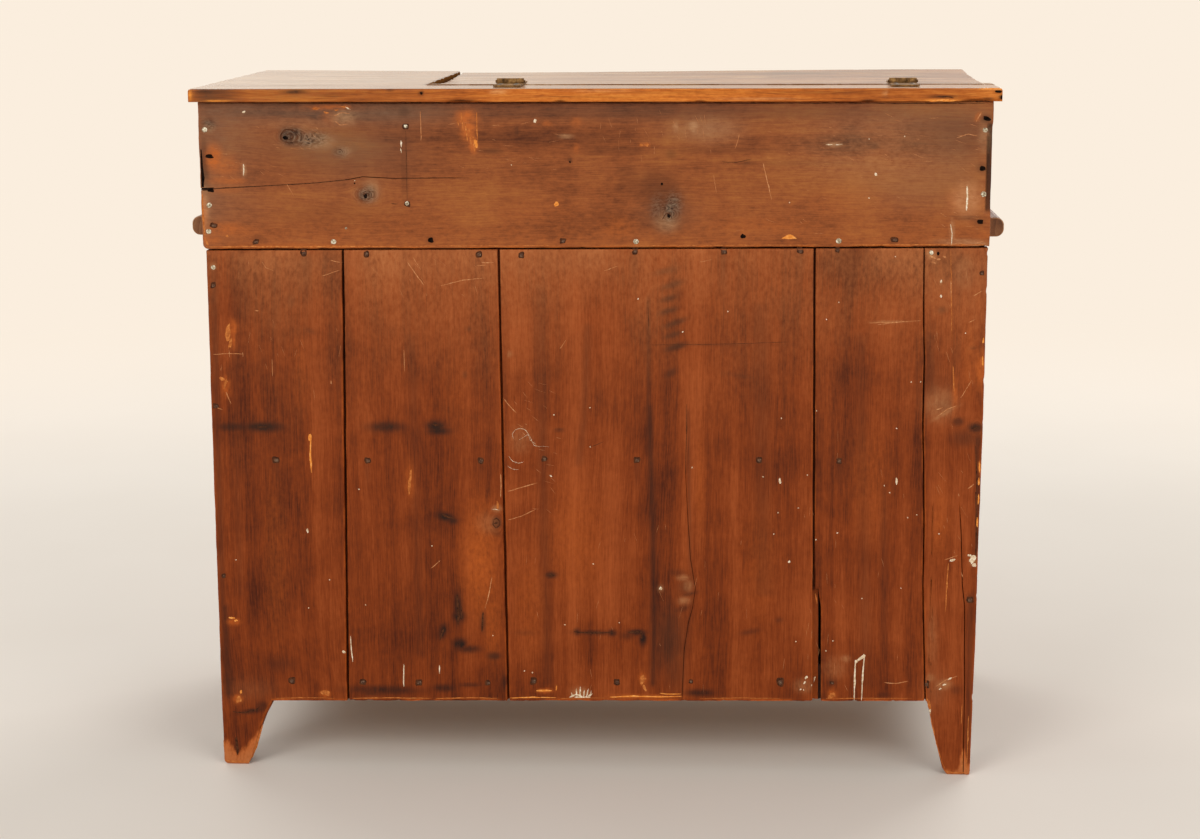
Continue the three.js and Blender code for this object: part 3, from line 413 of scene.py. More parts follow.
def pineMaterial(name, finish, grain="attribute", shift=(0, 0, 0)):
    # Old pine: a figure under a wash or varnish, with the marks that a board's own attributes paint on it. The
    # wash attribute is how much lighter its tone is, how far a dusty veil covers it and how much duller it is.
    # The mark colours are red for dark stains, green for wood worn bare, blue for pale rub and dust, and alpha
    # for grey knots. Each is broken up by fine noise, as dirt in the grain is.
    material, tree, shader = blankMaterial(name)
    vector = grainOf(tree, grain, shift)
    wood = addNode(tree, "ShaderNodeGroup", node_tree=pineFigure)
    tree.links.new(vector, wood.inputs["Grain"])
    for key in ("Dark", "Middle", "Light"):
        wood.inputs[key].default_value = linear(finish[key.lower()])
    for key in ("Bands", "Streaks", "Fibres", "Blotches", "Specks"):
        wood.inputs[key].default_value = finish[key.lower()]
    colour = wood.outputs["Color"]
    roughness = mapped(tree, wood.outputs["Tone"], toneShine["low"], toneShine["high"],
                       finish["roughness"] + toneShine["duller"], finish["roughness"] - toneShine["shinier"])
    if grain == "attribute":
        marks = addNode(tree, "ShaderNodeAttribute", attribute_name="marks").outputs
        shares = [*addNode(tree, "ShaderNodeSeparateColor", {0: marks["Color"]}).outputs, marks["Alpha"]]
        wash = addNode(tree, "ShaderNodeAttribute", attribute_name="wash").outputs["Vector"]
        lighter, veiled, duller = addNode(tree, "ShaderNodeSeparateXYZ", {0: wash}).outputs
        tree.links.new(lighter, wood.inputs["Shift"])
        roughness = calculated(tree, "ADD", roughness, duller)
        across, along = knotGrain["across"] * mm, knotGrain["along"] * mm
        swirl = noiseNode(tree, vectored(tree, "DIVIDE", vector, (across, along, across)), 1.0, 3.0,
                          twist=knotGrain["twist"])
        swirl = mapped(tree, swirl, knotGrain["low"], knotGrain["high"])
        knotWood = blended(tree, swirl, linear(finish["stain"]), linear(finish["knot"]))
        grit = calculated(tree, "SUBTRACT", wood.outputs["Speck"], 0.5)
        for (key, amount), share in zip(patchy.items(), [veiled, *shares]):
            gritty = calculated(tree, "MULTIPLY_ADD", grit, amount, 1.0)
            cover = calculated(tree, "MULTIPLY", gritty, share, clamp=True)
            colour = blended(tree, cover, colour, knotWood if key == "knot" else linear(finish[key]))
    wire(tree, shader, colour, roughness, wood.outputs["Height"], finish["bump"], 0.5)
    for socket, key in (("Specular IOR Level", "specular"), ("Coat Weight", "coat"),
                        ("Coat Roughness", "coatRoughness")):
        if key in finish:
            shader.inputs[socket].default_value = finish[key]
    return material


# Finishes: each is a dark, middle and light tone of the wood, the colours of its marks, and how strong its figure
# shows.
redWash = {
    # thin iron-oxide wash rubbed into planed pine: deep orange brown, with a soft sheen
    "dark": "#461803", "middle": "#7b3309", "light": "#9a491c", "stain": "#21120b", "worn": "#b8591c",
    "pale": "#ab7449", "knot": "#6b4128", "veil": "#8a5634", "bands": 0.06, "streaks": 1.15, "fibres": 0.8,
    "blotches": 0.8, "specks": 0.28, "roughness": 0.55, "bump": 0.35, "specular": 0.14,
}
brownWash = {
    # the same wash gone brown with handling and dust
    "dark": "#4a210d", "middle": "#874822", "light": "#a4642f", "stain": "#2a180e", "worn": "#b35d24",
    "pale": "#b98a60", "knot": "#77604c", "veil": "#6c5542", "bands": 0.05, "streaks": 0.75, "fibres": 0.6,
    "blotches": 0.8, "specks": 0.5, "roughness": 0.55, "bump": 0.4, "specular": 0.16,
}
topVarnish = {
    # worn shellac over pine, browner with age, that shines at a low angle
    "dark": "#5c3a20", "middle": "#96602f", "light": "#b98a50", "stain": "#2a1a10", "worn": "#b8763a",
    "pale": "#c7a06e", "knot": "#5c4333", "veil": "#8f7458", "bands": 0.3, "streaks": 0.7, "fibres": 0.6,
    "blotches": 0.6, "specks": 0.2, "roughness": 0.2, "bump": 0.2, "specular": 0.5, "coat": 0.42,
    "coatRoughness": 0.12,
}
railWorn = {
    # the edges of the top, rubbed through to orange wood
    "dark": "#6a300d", "middle": "#b8601d", "light": "#e08b3a", "stain": "#2e190c", "worn": "#e08a34",
    "pale": "#e0a56a", "knot": "#4c3423", "veil": "#553621", "bands": 0.2, "streaks": 0.4, "fibres": 1.0,
    "blotches": 0.5, "specks": 0.5, "roughness": 0.45, "bump": 0.3, "specular": 0.14,
}
edgeWorn = {
    # the ends and front edges of the top boards: browner than the rail, and matt
    "dark": "#3f220f", "middle": "#7a4721", "light": "#a5682f", "stain": "#1c110a", "worn": "#c07a35",
    "pale": "#c79a66", "knot": "#4c3423", "veil": "#553621", "bands": 0.4, "streaks": 0.5, "fibres": 0.8,
    "blotches": 0.5, "specks": 0.4, "roughness": 0.6, "bump": 0.3, "specular": 0.0,
}
barePine = {
    # pine with no finish, browned by a century of air
    "dark": "#7c5330", "middle": "#b08555", "light": "#c9a373", "stain": "#3f2a1a", "worn": "#c79a66",
    "pale": "#d2b58c", "knot": "#5f3f26", "veil": "#8b6f4f", "bands": 0.6, "streaks": 0.5, "fibres": 0.5,
    "blotches": 0.4, "specks": 0.2, "roughness": 0.75, "bump": 0.4, "specular": 0.25,
}
cleatWash = {
    # the lift cleats, rubbed and dirty from hands
    "dark": "#4c2a14", "middle": "#7c4b28", "light": "#9a6b43", "stain": "#2a180e", "worn": "#b07c50",
    "pale": "#c49871", "knot": "#4c3423", "veil": "#5d4430", "bands": 0.3, "streaks": 0.7, "fibres": 0.6,
    "blotches": 0.7, "specks": 0.3, "roughness": 0.5, "bump": 0.3, "specular": 0.3,
}


# The back: one wide level board over five upright ones, lapped at their edges. Places read from the photograph
# are in pixels, and sizes are in millimetres.
back = {
    "seamDirtAndShade": (0.5, 0.0, 0.55, 0.6, 0.55),  # how dark each board's tongue is painted: dirt, and painted shade in the seam's gap
    "lapGap": 2.6,
    "lapShift": 10.0,
    "seamGap": 1.9,
    "gridStep": 2.4,
    "arris": 1.1,
    "cup": 0.6,
    "soleCorner": 3.0,
    "seams": (
        ((342.6, 248), (347.9, 701)),
        ((498.4, 248), (508.3, 701)),
        ((814.6, 248), (813.4, 701)),
        ((924.2, 250), (923.9, 323), (924.5, 360), (923, 426), (923.6, 464), (924.3, 537), (923, 587), (925, 700)),
    ),
    "leftSide": ((206.3, 260), (214.4, 500), (221.4, 690)),
    "rightSide": ((987.8, 260), (982.6, 440), (978.1, 555), (975.6, 640), (969.8, 770)),
    "levelSeam": ((206, 249), (989, 246.5)),
    "skirt": ((222, 700.8), (973, 701.5)),
    "leftFoot": ((271.4, 700.8), (264.9, 713.7), (260.2, 727), (255.3, 746.3), (251.8, 757), (249.4, 762)),
    "rightFoot": ((926.2, 702), (930.8, 722), (934.5, 738.7), (942.3, 768.8), (947.7, 776)),
}
tightSeam = {"number": 4, "gap": 1.4}
# Board 4 has lost the outer half of its lap below a pixel: how far in at the break, how much further below its
# taper, and the height under which the gap beside the neighbour's tongue is closed, over a length. The tongue shows
# a lit strip there, with an edge, and how stained and how bare it is; it reaches a little past the strip.
# Below the closing height the tongue fills the gap and is painted near black, as shade.
brokenLap = {"board": 4, "shoulder": 4.2, "open": 3.4, "top": (818, 591.6), "taper": 28.0, "closed": 130.0,
             "closing": 6, "inset": 0.2, "deepInset": 0.3, "edge": 0.3, "past": 0.5, "stain": 0.12, "worn": 0.35}
splits = {
    # board: the line of the split, its width and depth where it is open, and where it starts to open
    3: (((688.4, 406), (686.2, 443), (685.5, 475), (688, 523), (690.5, 560), (695.4, 590), (692.6, 609),
         (688.4, 624), (684.1, 652), (682, 700)), 0.8, 1.4, 470),
    5: (((951, 250), (951.4, 305), (952.3, 360), (955, 392), (956.5, 450), (956.8, 470), (959, 500), (961.3, 540),
         (962.3, 589), (964.5, 611), (964.5, 685), (963.2, 776)), 1.2, 4.0, 505),
}
# A split opens over a length, and is never shallower than its least depth; its bottom is a share of its width.
splitShape = {"opening": 60, "start": 0.25, "least": 0.3, "share": 0.4, "end": 20}
knots = {2: ((496.3, 523, 7),), 3: ((685, 588, 6),), 5: ((958, 424, 4), (977, 428, 6))}  # x, y and radius in pixels
grainShifts = {1: (0, 0, 0), 2: (310, 1700, 9), 3: (900, 400, -12), 4: (1500, 3100, 4), 5: (2100, 900, -5)}
# The feet are worn bare below a line of pixels, and their outer corners are rounded.
scuffs = {
    1: {"line": ((222, 738), (228, 741), (233, 748), (237.5, 757), (242, 748), (249, 743), (255, 735), (262, 724)),
        "pale": 0.4, "corner": 6.0},
    5: {"line": ((930, 720), (938, 760), (942, 768), (946, 771), (953, 771.6), (959, 768), (962.4, 748), (964.6, 752),
                 (968, 767), (971, 758)), "pale": 0.4, "corner": 2.5},
}
# Their upper edge is soft over a height, and patchy; the pale wood of the sole ends a little above the bare line.
scuffShape = {"soft": 9, "least": 0.4, "patchy": 0.3, "width": 3, "height": 9, "worn": 0.9, "paleTop": 1.3, "over": 3}
# Under the level board lies dust: how far down it reaches, its patches, and how bare and how pale it makes the wood.
dust = {"reach": 75, "least": 0.8, "patchy": 0.4, "width": 60, "height": 90, "worn": 0.42, "pale": 0.3}
layerDepth = 9.0  # from the face of a board to its middle, where the grain of its lap is read
underMarks = 0.3  # how strongly the hidden face has the marks of the tongue
pixelSize = 1.15
stainMark, wornMark, paleMark, knotMark = range(4)


def lineAlong(pixels, axis):
    # a line on the back as a function: its x from its height, or with axis 1 its height from its x
    x, z = onBack(pixels)
    given, found = (z, x) if axis == 0 else (x, z)
    order = np.argsort(given)
    return lambda place: np.interp(place, given[order], found[order])


seamLines = [lineAlong(pixels, 0) for pixels in back["seams"]]
levelSeam = lineAlong(back["levelSeam"], 1)
skirtLine = lineAlong(back["skirt"], 1)
outerLines = {1: lineAlong(back["leftSide"], 0), 5: lineAlong(back["rightSide"], 0)}
footLines = {1: lineAlong(back["leftFoot"], 0), 5: lineAlong(back["rightFoot"], 0)}


def between(lines, step, fine):
    # places across a board, row by row: each stretch between two lines is shared out alike in every row, and
    # closer together at the lines in fine
    columns, stretches = [lines[0][:, None]], []
    for k, (start, end) in enumerate(zip(lines, lines[1:])):
        shares = spread(0, np.mean(np.abs(end - start)), step, k in fine, k + 1 in fine)
        columns.append(start[:, None] + (end - start)[:, None] * shares[1:])
        stretches += [k] * (len(shares) - 1)
    return np.hstack(columns), np.array(stretches)


def brokenShoulder(height):
    # how far in the broken lap's edge lies at a height
    under = onBack(brokenLap["top"])[1] - height
    return brokenLap["shoulder"] + brokenLap["open"] * smooth(under / brokenLap["taper"])


def sidesOf(number, height):
    # the two sides of an upright board at a height: the middles of its seams, or its own outer edge
    low = seamLines[number - 1](height) if number < 5 else outerLines[5](height)
    high = seamLines[number - 2](height) if number > 1 else outerLines[1](height)
    return low, high


# A face smoothed with a hand plane: the width and depth of its hollows, how they wander, and a fine unevenness.
hollows = {"width": 46.0, "depth": 0.2, "wander": 0.3, "long": 260, "uneven": 0.1, "across": 16, "along": 80}


def planed(across, along, seed):
    # how far a face lies below flat: the shallow hollows side by side across the board, which wander along it,
    # and a little unevenness
    lane = across / hollows["width"] + hollows["wander"] * noise(along / hollows["long"], seed, seed)
    hollow = hollows["depth"] * (0.5 + 0.5 * np.cos(2 * np.pi * lane))
    return hollow + hollows["uneven"] * (1 + rough(across / hollows["across"], along / hollows["along"], seed + 1))


def rounded(distance, radius):
    # how far a rounded corner falls below the face, at a distance from the edge
    inside = np.clip(radius - distance, 0, radius)
    return radius - np.sqrt(np.maximum(radius**2 - inside**2, 0))


# How far the grain wanders and over what length and width, how long it is beside a knot, and a knot's rings.
bend = {"far": 5, "long": 240, "wide": 400, "stretch": 1.8, "rings": 1.6}


def grainField(across, along, depth, stones, shift, seed):
    # Grain coordinates in metres. The grain wanders a little along the board. Beside a knot it parts as water
    # does round a stone: the distance from the knot's line shrinks by the knot's radius squared over the
    # distance squared. Inside the knot it turns to rings.
    bent = across + bend["far"] * noise(along / bend["long"], across / bend["wide"], seed)
    for x, z, radius in stones:
        side, ahead = across - x, (along - z) / bend["stretch"]
        squared = side**2 + ahead**2
        outside = side * (1 - radius**2 / np.maximum(squared, radius**2))
        inside = bend["rings"] * (radius - np.sqrt(squared))
        bent = bent - side + np.where(squared < radius**2, inside, outside)
    moved = np.broadcast_arrays(bent + shift[0], along + shift[1], depth + shift[2])
    return np.stack(moved, -1) * mm


# How crisp a spot's edge is, and over how many pixels a run starts and a line fades at its ends.
spotPower, runStart, lineFade = 1.4, 3, 8


def fromPixel(px, py, x, z):
    # how many pixels right of and below a pixel each place on the back is
    middleX, middleZ = onBack((px, py))
    return (middleX - x) / pixelSize, (middleZ - z) / pixelSize


def paint(marks, channel, x, z, spots):
    # soft oval spots: middle in pixels, half width and half height in pixels, strength and lean in degrees
    for px, py, wide, high, strength, *lean in spots:
        angle = math.radians(lean[0] if lean else 0)
        right, down = fromPixel(px, py, x, z)
        u = (right * math.cos(angle) + down * math.sin(angle)) / wide
        v = (down * math.cos(angle) - right * math.sin(angle)) / high
        cover(marks, channel, np.exp(-((u * u + v * v) ** spotPower)), strength)


def paintRuns(marks, channel, x, z, runs):
    # runs that start at a nail and fade downwards: pixel, half width and length in pixels, strength
    for px, py, wide, long, strength in runs:
        right, down = fromPixel(px, py, x, z)
        fade = smooth((down + runStart) / (2 * runStart)) * np.exp(-((np.maximum(down, 0) / long) ** 2))
        cover(marks, channel, fade * np.exp(-((right / wide) ** 2)), strength)


def paintLines(marks, channel, x, z, lines):
    # soft upright lines: the path in pixels, half width in pixels and strength, faded at both ends
    for path, wide, strength in lines:
        pathZ = onBack(path)[1]
        middle = lineAlong(path, 0)(z)
        end = np.minimum(z - pathZ.min(), pathZ.max() - z) / (lineFade * pixelSize)
        cover(marks, channel, smooth(end) * np.exp(-(((x - middle) / wide / pixelSize) ** 2)), strength)


def cover(marks, channel, share, strength):
    marks[..., channel] = np.maximum(marks[..., channel], strength * share)


# Marks on the upright boards, by kind. A spot is x, y, half width, half height, strength and lean.
lowerStains = (
    (232, 427, 18, 4.5, 0.75), (264, 427, 20, 5.6, 1.0), (257, 427, 12, 4, 1.0), (386, 427, 19, 5.6, 0.85),
    (436, 426, 11, 6, 1.0), (439, 431, 13, 4.4, 0.95), (446, 517, 10, 5, 1.0, 15), (453, 521, 6, 4, 0.8),
    (496, 523, 6, 7, 0.8), (494, 532, 10, 4, 0.5, 25), (458, 609, 4.4, 19, 1.0), (459, 616, 7, 7, 1.0),
    (483, 622, 3.2, 11, 0.85), (443, 631, 4.4, 9, 0.95, 15), (460, 644, 8, 7, 0.95), (468, 649, 14, 4.4, 0.8),
    (472, 648, 12, 2.5, 0.4), (494, 656, 7, 4.4, 1.0), (504, 682, 3.5, 9, 0.6), (384, 690, 40, 5, 0.75),
    (372, 693, 14, 4, 0.6), (444, 688, 12, 4.4, 0.75), (470, 685, 12, 2.5, 0.6), (253, 711, 14, 3, 0.75, -8),
    (262, 706, 7, 5, 0.6), (280, 665, 14, 8, 0.3), (291, 301, 4, 7, 0.35), (310, 331, 6, 2.5, 0.4, 20),
    (551, 575, 7, 4, 1.0), (594, 632.8, 22, 2.6, 0.7), (577, 632, 4, 4, 0.8), (612, 633, 5, 4, 0.9),
    (637, 632.6, 11, 3.6, 0.85), (628, 636, 8, 4, 0.5), (643, 639, 4, 8, 1.0), (750, 632, 11, 3, 0.45, -12),
    (779, 620, 4, 3, 0.4), (685, 588, 10, 11, 0.35), (677, 573, 9, 4, 0.4), (690, 594, 9, 2.4, 0.6, -15),
    (682, 609, 10, 4, 0.5, -20), (526, 633, 12, 3, 0.3), (559, 430, 5, 2, 0.6), (741, 376, 18, 2.5, 0.3, 10),
    (894, 261, 6, 2.5, 0.6), (942, 310, 5, 3.5, 0.6), (975.6, 428, 8, 5.4, 1.0), (958, 422, 6, 4.4, 0.75),
    (965, 438, 14, 9, 0.5), (978, 440, 4, 12, 0.6), (213, 300, 3.5, 9, 0.5), (469, 329, 2.4, 2.4, 0.7),
    (465, 375, 2.2, 4, 0.5), (700, 693, 16, 4, 0.8), (236, 750, 5, 9, 0.5), (973, 348, 4, 1.8, 0.6),
    (884, 695, 6, 3, 0.4), (944, 406, 8, 6, 0.25), (666, 271, 13, 3.6, 0.6, -14), (672, 285, 12, 3.2, 0.75, -18),
    (669, 298.6, 9, 3.2, 0.85, -16), (668.6, 311, 10, 3.0, 0.85, -16), (675, 323, 13, 3.2, 0.8, -20),
    (673, 335, 10, 2.8, 0.7, -18), (676, 347, 12, 3.6, 0.9, -16), (671, 373, 7, 4, 0.6, -35),
    (671, 640, 14, 34, 0.5), (675, 668, 10, 26, 0.35), (832, 683, 5, 4, 0.5), (545, 462, 6, 16, 0.3),
    (956, 690, 6, 5, 0.35), (720, 344.7, 70, 1.6, 0.25),
)
lowerRuns = (
    (305, 254, 6, 44, 0.6), (366.4, 254, 4, 16, 0.35), (478.8, 255, 5, 20, 0.3), (521, 256, 4, 26, 0.4),
    (635, 252, 4, 24, 0.5), (723.5, 252, 5, 44, 0.45), (800, 251, 4, 26, 0.4), (837.6, 250, 3.5, 12, 0.5),
    (243, 255, 7, 60, 0.32), (276, 256, 6, 90, 0.3), (367, 461, 3, 26, 0.25), (480, 461, 3, 18, 0.25),
    (276, 461, 3, 22, 0.3), (544, 460, 3, 30, 0.3), (637, 461, 3, 26, 0.3), (759, 461, 3, 30, 0.35),
    (839, 461, 3, 24, 0.3),
)
lowerLines = (
    (((647.8, 293), (648.3, 400), (649, 440)), 2.2, 0.45),
    (((648.8, 400), (651, 470), (652.7, 534), (654, 598), (653, 690)), 3.4, 0.6),
    (((539, 280), (542, 420), (545, 560), (548, 690)), 6, 0.3), (((588, 320), (584, 420), (578, 470)), 4, 0.25),
    (((760, 300), (762, 470), (764, 600)), 9, 0.28),
    (((688, 406), (690, 560), (694, 590), (684, 652), (682, 700)), 1.6, 0.4),
    (((233, 250), (236, 420), (240, 600)), 4, 0.2), (((213, 255), (221, 560), (226, 690)), 3.4, 0.4),
    (((224, 600), (229, 700)), 4, 0.6), (((412, 330), (416, 500), (420, 660)), 5, 0.22),
    (((970.5, 590), (967.5, 770)), 4, 0.4), (((977.6, 440), (978, 510), (976, 560)), 1.6, 0.7),
    (((860, 330), (864, 520), (866, 690)), 6, 0.25), (((884, 480), (884, 660)), 4, 0.25),
    (((930, 330), (932, 400)), 7, 0.3),
)
lowerWorn = (
    (233, 328, 4.5, 9, 0.7), (233.5, 340, 2.4, 10, 0.6), (226, 387, 5, 11, 0.5), (234, 622, 7, 3.5, 0.65),
    (238, 699, 5, 5, 0.7), (325, 694, 6, 4, 0.6), (410, 480, 5, 20, 0.4), (480, 560, 18, 60, 0.5),
    (492, 620, 10, 40, 0.3), (300, 360, 10, 60, 0.16), (455, 370, 20, 70, 0.12), (575, 540, 30, 60, 0.22),
    (530, 600, 16, 60, 0.2), (700, 480, 6, 50, 0.2), (760, 560, 18, 60, 0.15), (870, 480, 20, 60, 0.16),
    (940, 520, 10, 40, 0.25), (276, 560, 12, 90, 0.16), (981, 368, 5, 20, 0.7), (978, 300, 4, 20, 0.3),
    (642.4, 679, 4, 7, 0.6), (545, 691, 8, 2.2, 0.95), (645, 697, 34, 2, 0.7), (832, 695, 5, 6, 0.5),
    (955, 395, 3, 20, 0.5), (981, 468, 2.5, 8, 0.7), (969, 350, 8, 50, 0.3), (720, 300, 14, 30, 0.2),
)
lowerPale = (
    (213, 267, 3.5, 4, 0.6), (497, 509, 5, 3.5, 0.6), (488, 523, 12, 11, 0.2), (941, 282, 2, 3, 0.6),
    (931, 255, 8, 6, 0.6), (934, 262, 7, 4, 0.4), (300, 262, 14, 4, 0.22), (890, 322, 20, 1.8, 0.5, -1),
    (966, 270, 14, 24, 0.3), (973, 561, 3.5, 5, 0.6), (940, 405, 15, 16, 0.35), (944, 414, 16, 2.5, 0.5, -30),
    (580, 692, 9, 5, 0.5), (804, 686, 10, 7, 0.35), (932, 640, 6, 30, 0.2), (845, 659, 5, 4, 0.45),
    (944, 685, 7, 5, 0.6), (930, 678, 4, 4, 0.5), (510, 354, 3, 4, 0.4), (683, 578, 6, 3, 0.5),
    (688, 586, 5, 6, 0.4), (684, 601, 6, 4, 0.45), (520, 440, 12, 14, 0.22), (660.6, 588.6, 3, 4, 0.35),
    (835, 668, 12, 12, 0.2), (929, 711, 2.5, 5, 0.5),
)


# How light each board is against the next, and broad soft areas of tone and veil: x, y, half width and half
# height in pixels, then the amount.
boardTone = {1: -0.07, 2: -0.08, 3: 0.0, 4: -0.06, 5: 0.03}
lowerTones = (
    (575, 520, 70, 170, 0.13), (575, 330, 60, 50, 0.1), (660, 560, 26, 150, -0.12), (668, 320, 22, 80, -0.08),
    (760, 410, 60, 70, -0.08), (765, 600, 30, 60, 0.06), (240, 400, 14, 110, -0.12), (262, 330, 10, 90, -0.08),
    (315, 370, 16, 70, 0.08), (310, 560, 22, 90, 0.04), (430, 450, 60, 60, -0.05), (490, 590, 12, 90, 0.14),
    (412, 490, 8, 26, 0.14), (390, 620, 40, 60, -0.05), (850, 600, 26, 60, 0.1), (890, 420, 22, 90, -0.05),
    (945, 350, 16, 60, 0.12), (940, 460, 10, 60, 0.1), (968, 640, 8, 80, -0.1), (800, 560, 10, 90, 0.08),
    (535, 590, 14, 80, 0.08), (620, 430, 20, 90, 0.06), (455, 300, 40, 40, 0.06), (705, 320, 12, 70, 0.06),
    (870, 268, 50, 26, -0.32), (950, 262, 30, 20, -0.38), (300, 266, 60, 20, -0.08), (615, 440, 60, 40, -0.07),
    (240, 725, 30, 22, -0.12), (280, 262, 60, 20, -0.05),
)
lowerVeils = (
    (940, 400, 16, 18, 0.35), (960, 275, 30, 26, 0.35), (300, 262, 60, 10, 0.2), (560, 262, 50, 14, 0.2),
    (895, 262, 30, 12, 0.3), (420, 262, 70, 14, 0.2), (250, 690, 26, 12, 0.2), (670, 640, 16, 40, 0.15),
    (935, 690, 12, 20, 0.3),
)
levelTones = (
    (450, 140, 70, 22, -0.14), (560, 132, 80, 24, -0.14), (620, 150, 60, 18, -0.08), (830, 145, 50, 12, -0.14),
    (300, 196, 90, 14, -0.08), (320, 108, 110, 8, -0.14), (600, 106, 240, 7, -0.1), (540, 222, 70, 10, 0.08),
    (720, 205, 60, 20, 0.06), (960, 190, 26, 18, 0.12), (890, 190, 70, 20, 0.12), (330, 140, 44, 12, 0.14),
    (500, 142, 70, 14, -0.12), (820, 145, 50, 12, -0.14), (620, 215, 60, 16, -0.14), (800, 106, 70, 9, 0.12),
    (930, 108, 60, 12, 0.28), (620, 190, 40, 12, -0.06), (316, 111, 52, 13, -0.42), (340, 146, 50, 10, 0.2),
    (600, 226, 50, 10, -0.14), (910, 192, 50, 18, 0.08), (230, 112, 30, 14, -0.12), (800, 110, 60, 10, 0.14),
)
levelVeils = (
    (218, 130, 40, 40, 0.42), (300, 110, 90, 12, 0.46), (228, 205, 40, 30, 0.22), (335, 146, 60, 14, 0.35),
    (400, 112, 60, 14, 0.4), (206, 200, 18, 50, 0.3), (620, 110, 200, 10, 0.25), (910, 116, 90, 20, 0.3),
    (915, 190, 60, 22, 0.25), (960, 150, 30, 34, 0.25), (350, 165, 60, 30, 0.2), (667, 215, 26, 14, 0.3),
    (700, 128, 40, 14, 0.25),
)

mostVeil = 0.8  # the veil hides no more of the wood than this share


def washOf(x, z, tones, veils, tone=0.0):
    # the wash attribute: soft ovals of tone and veil, each an exponential of minus the distance squared
    def total(areas):
        done = np.zeros(x.shape)
        for px, py, wide, high, amount in areas:
            right, down = fromPixel(px, py, x, z)
            done += amount * np.exp(-((right / wide) ** 2) - (down / high) ** 2)
        return done

    return np.stack([tone + total(tones), np.clip(total(veils), 0, mostVeil), np.zeros(x.shape)], -1)


# An edge is worn bare in patches: the share between them, how much more in them, and their length.
edgePatches = {"least": 0.55, "more": 0.9, "long": 22}
# How each side of an upright board is worn: the seed of its patches, how far in it reaches, and how strong it is.
uprightWear = ((11, 1.3, 0.45), (12, 1.3, 0.4), (13, 1.2, 0.25), (14, 2.0, 1.0))
levelWear = ((15, 1.4, 0.4), (16, 1.4, 0.3), (17, 1.9, 1.0), (18, 1.0, 0.2))


def nearEdge(marks, distances, along, across, wear):
    # wood worn bare at the edges: most at the edge itself. The first two of the four run along the board.
    for k, (distance, (seed, reach, strength)) in enumerate(zip(distances, wear)):
        patches = edgePatches["more"] * rough((along if k < 2 else across) / edgePatches["long"], seed, seed)
        cover(marks, wornMark, np.exp(-((distance / reach) ** 2)) * smooth(edgePatches["least"] + patches), strength)


def uprightRelief(number, x, z):
    # depth below the back face at a place: planing, and each board a little cupped or crowned across its width
    low, high = sidesOf(number, z)
    bow = 4 * np.clip((x - low) / (high - low), 0, 1) * np.clip((high - x) / (high - low), 0, 1)
    cup = back["cup"] * (bow if number % 2 else 1 - bow)
    return planed(x, z, 10 * number) + cup


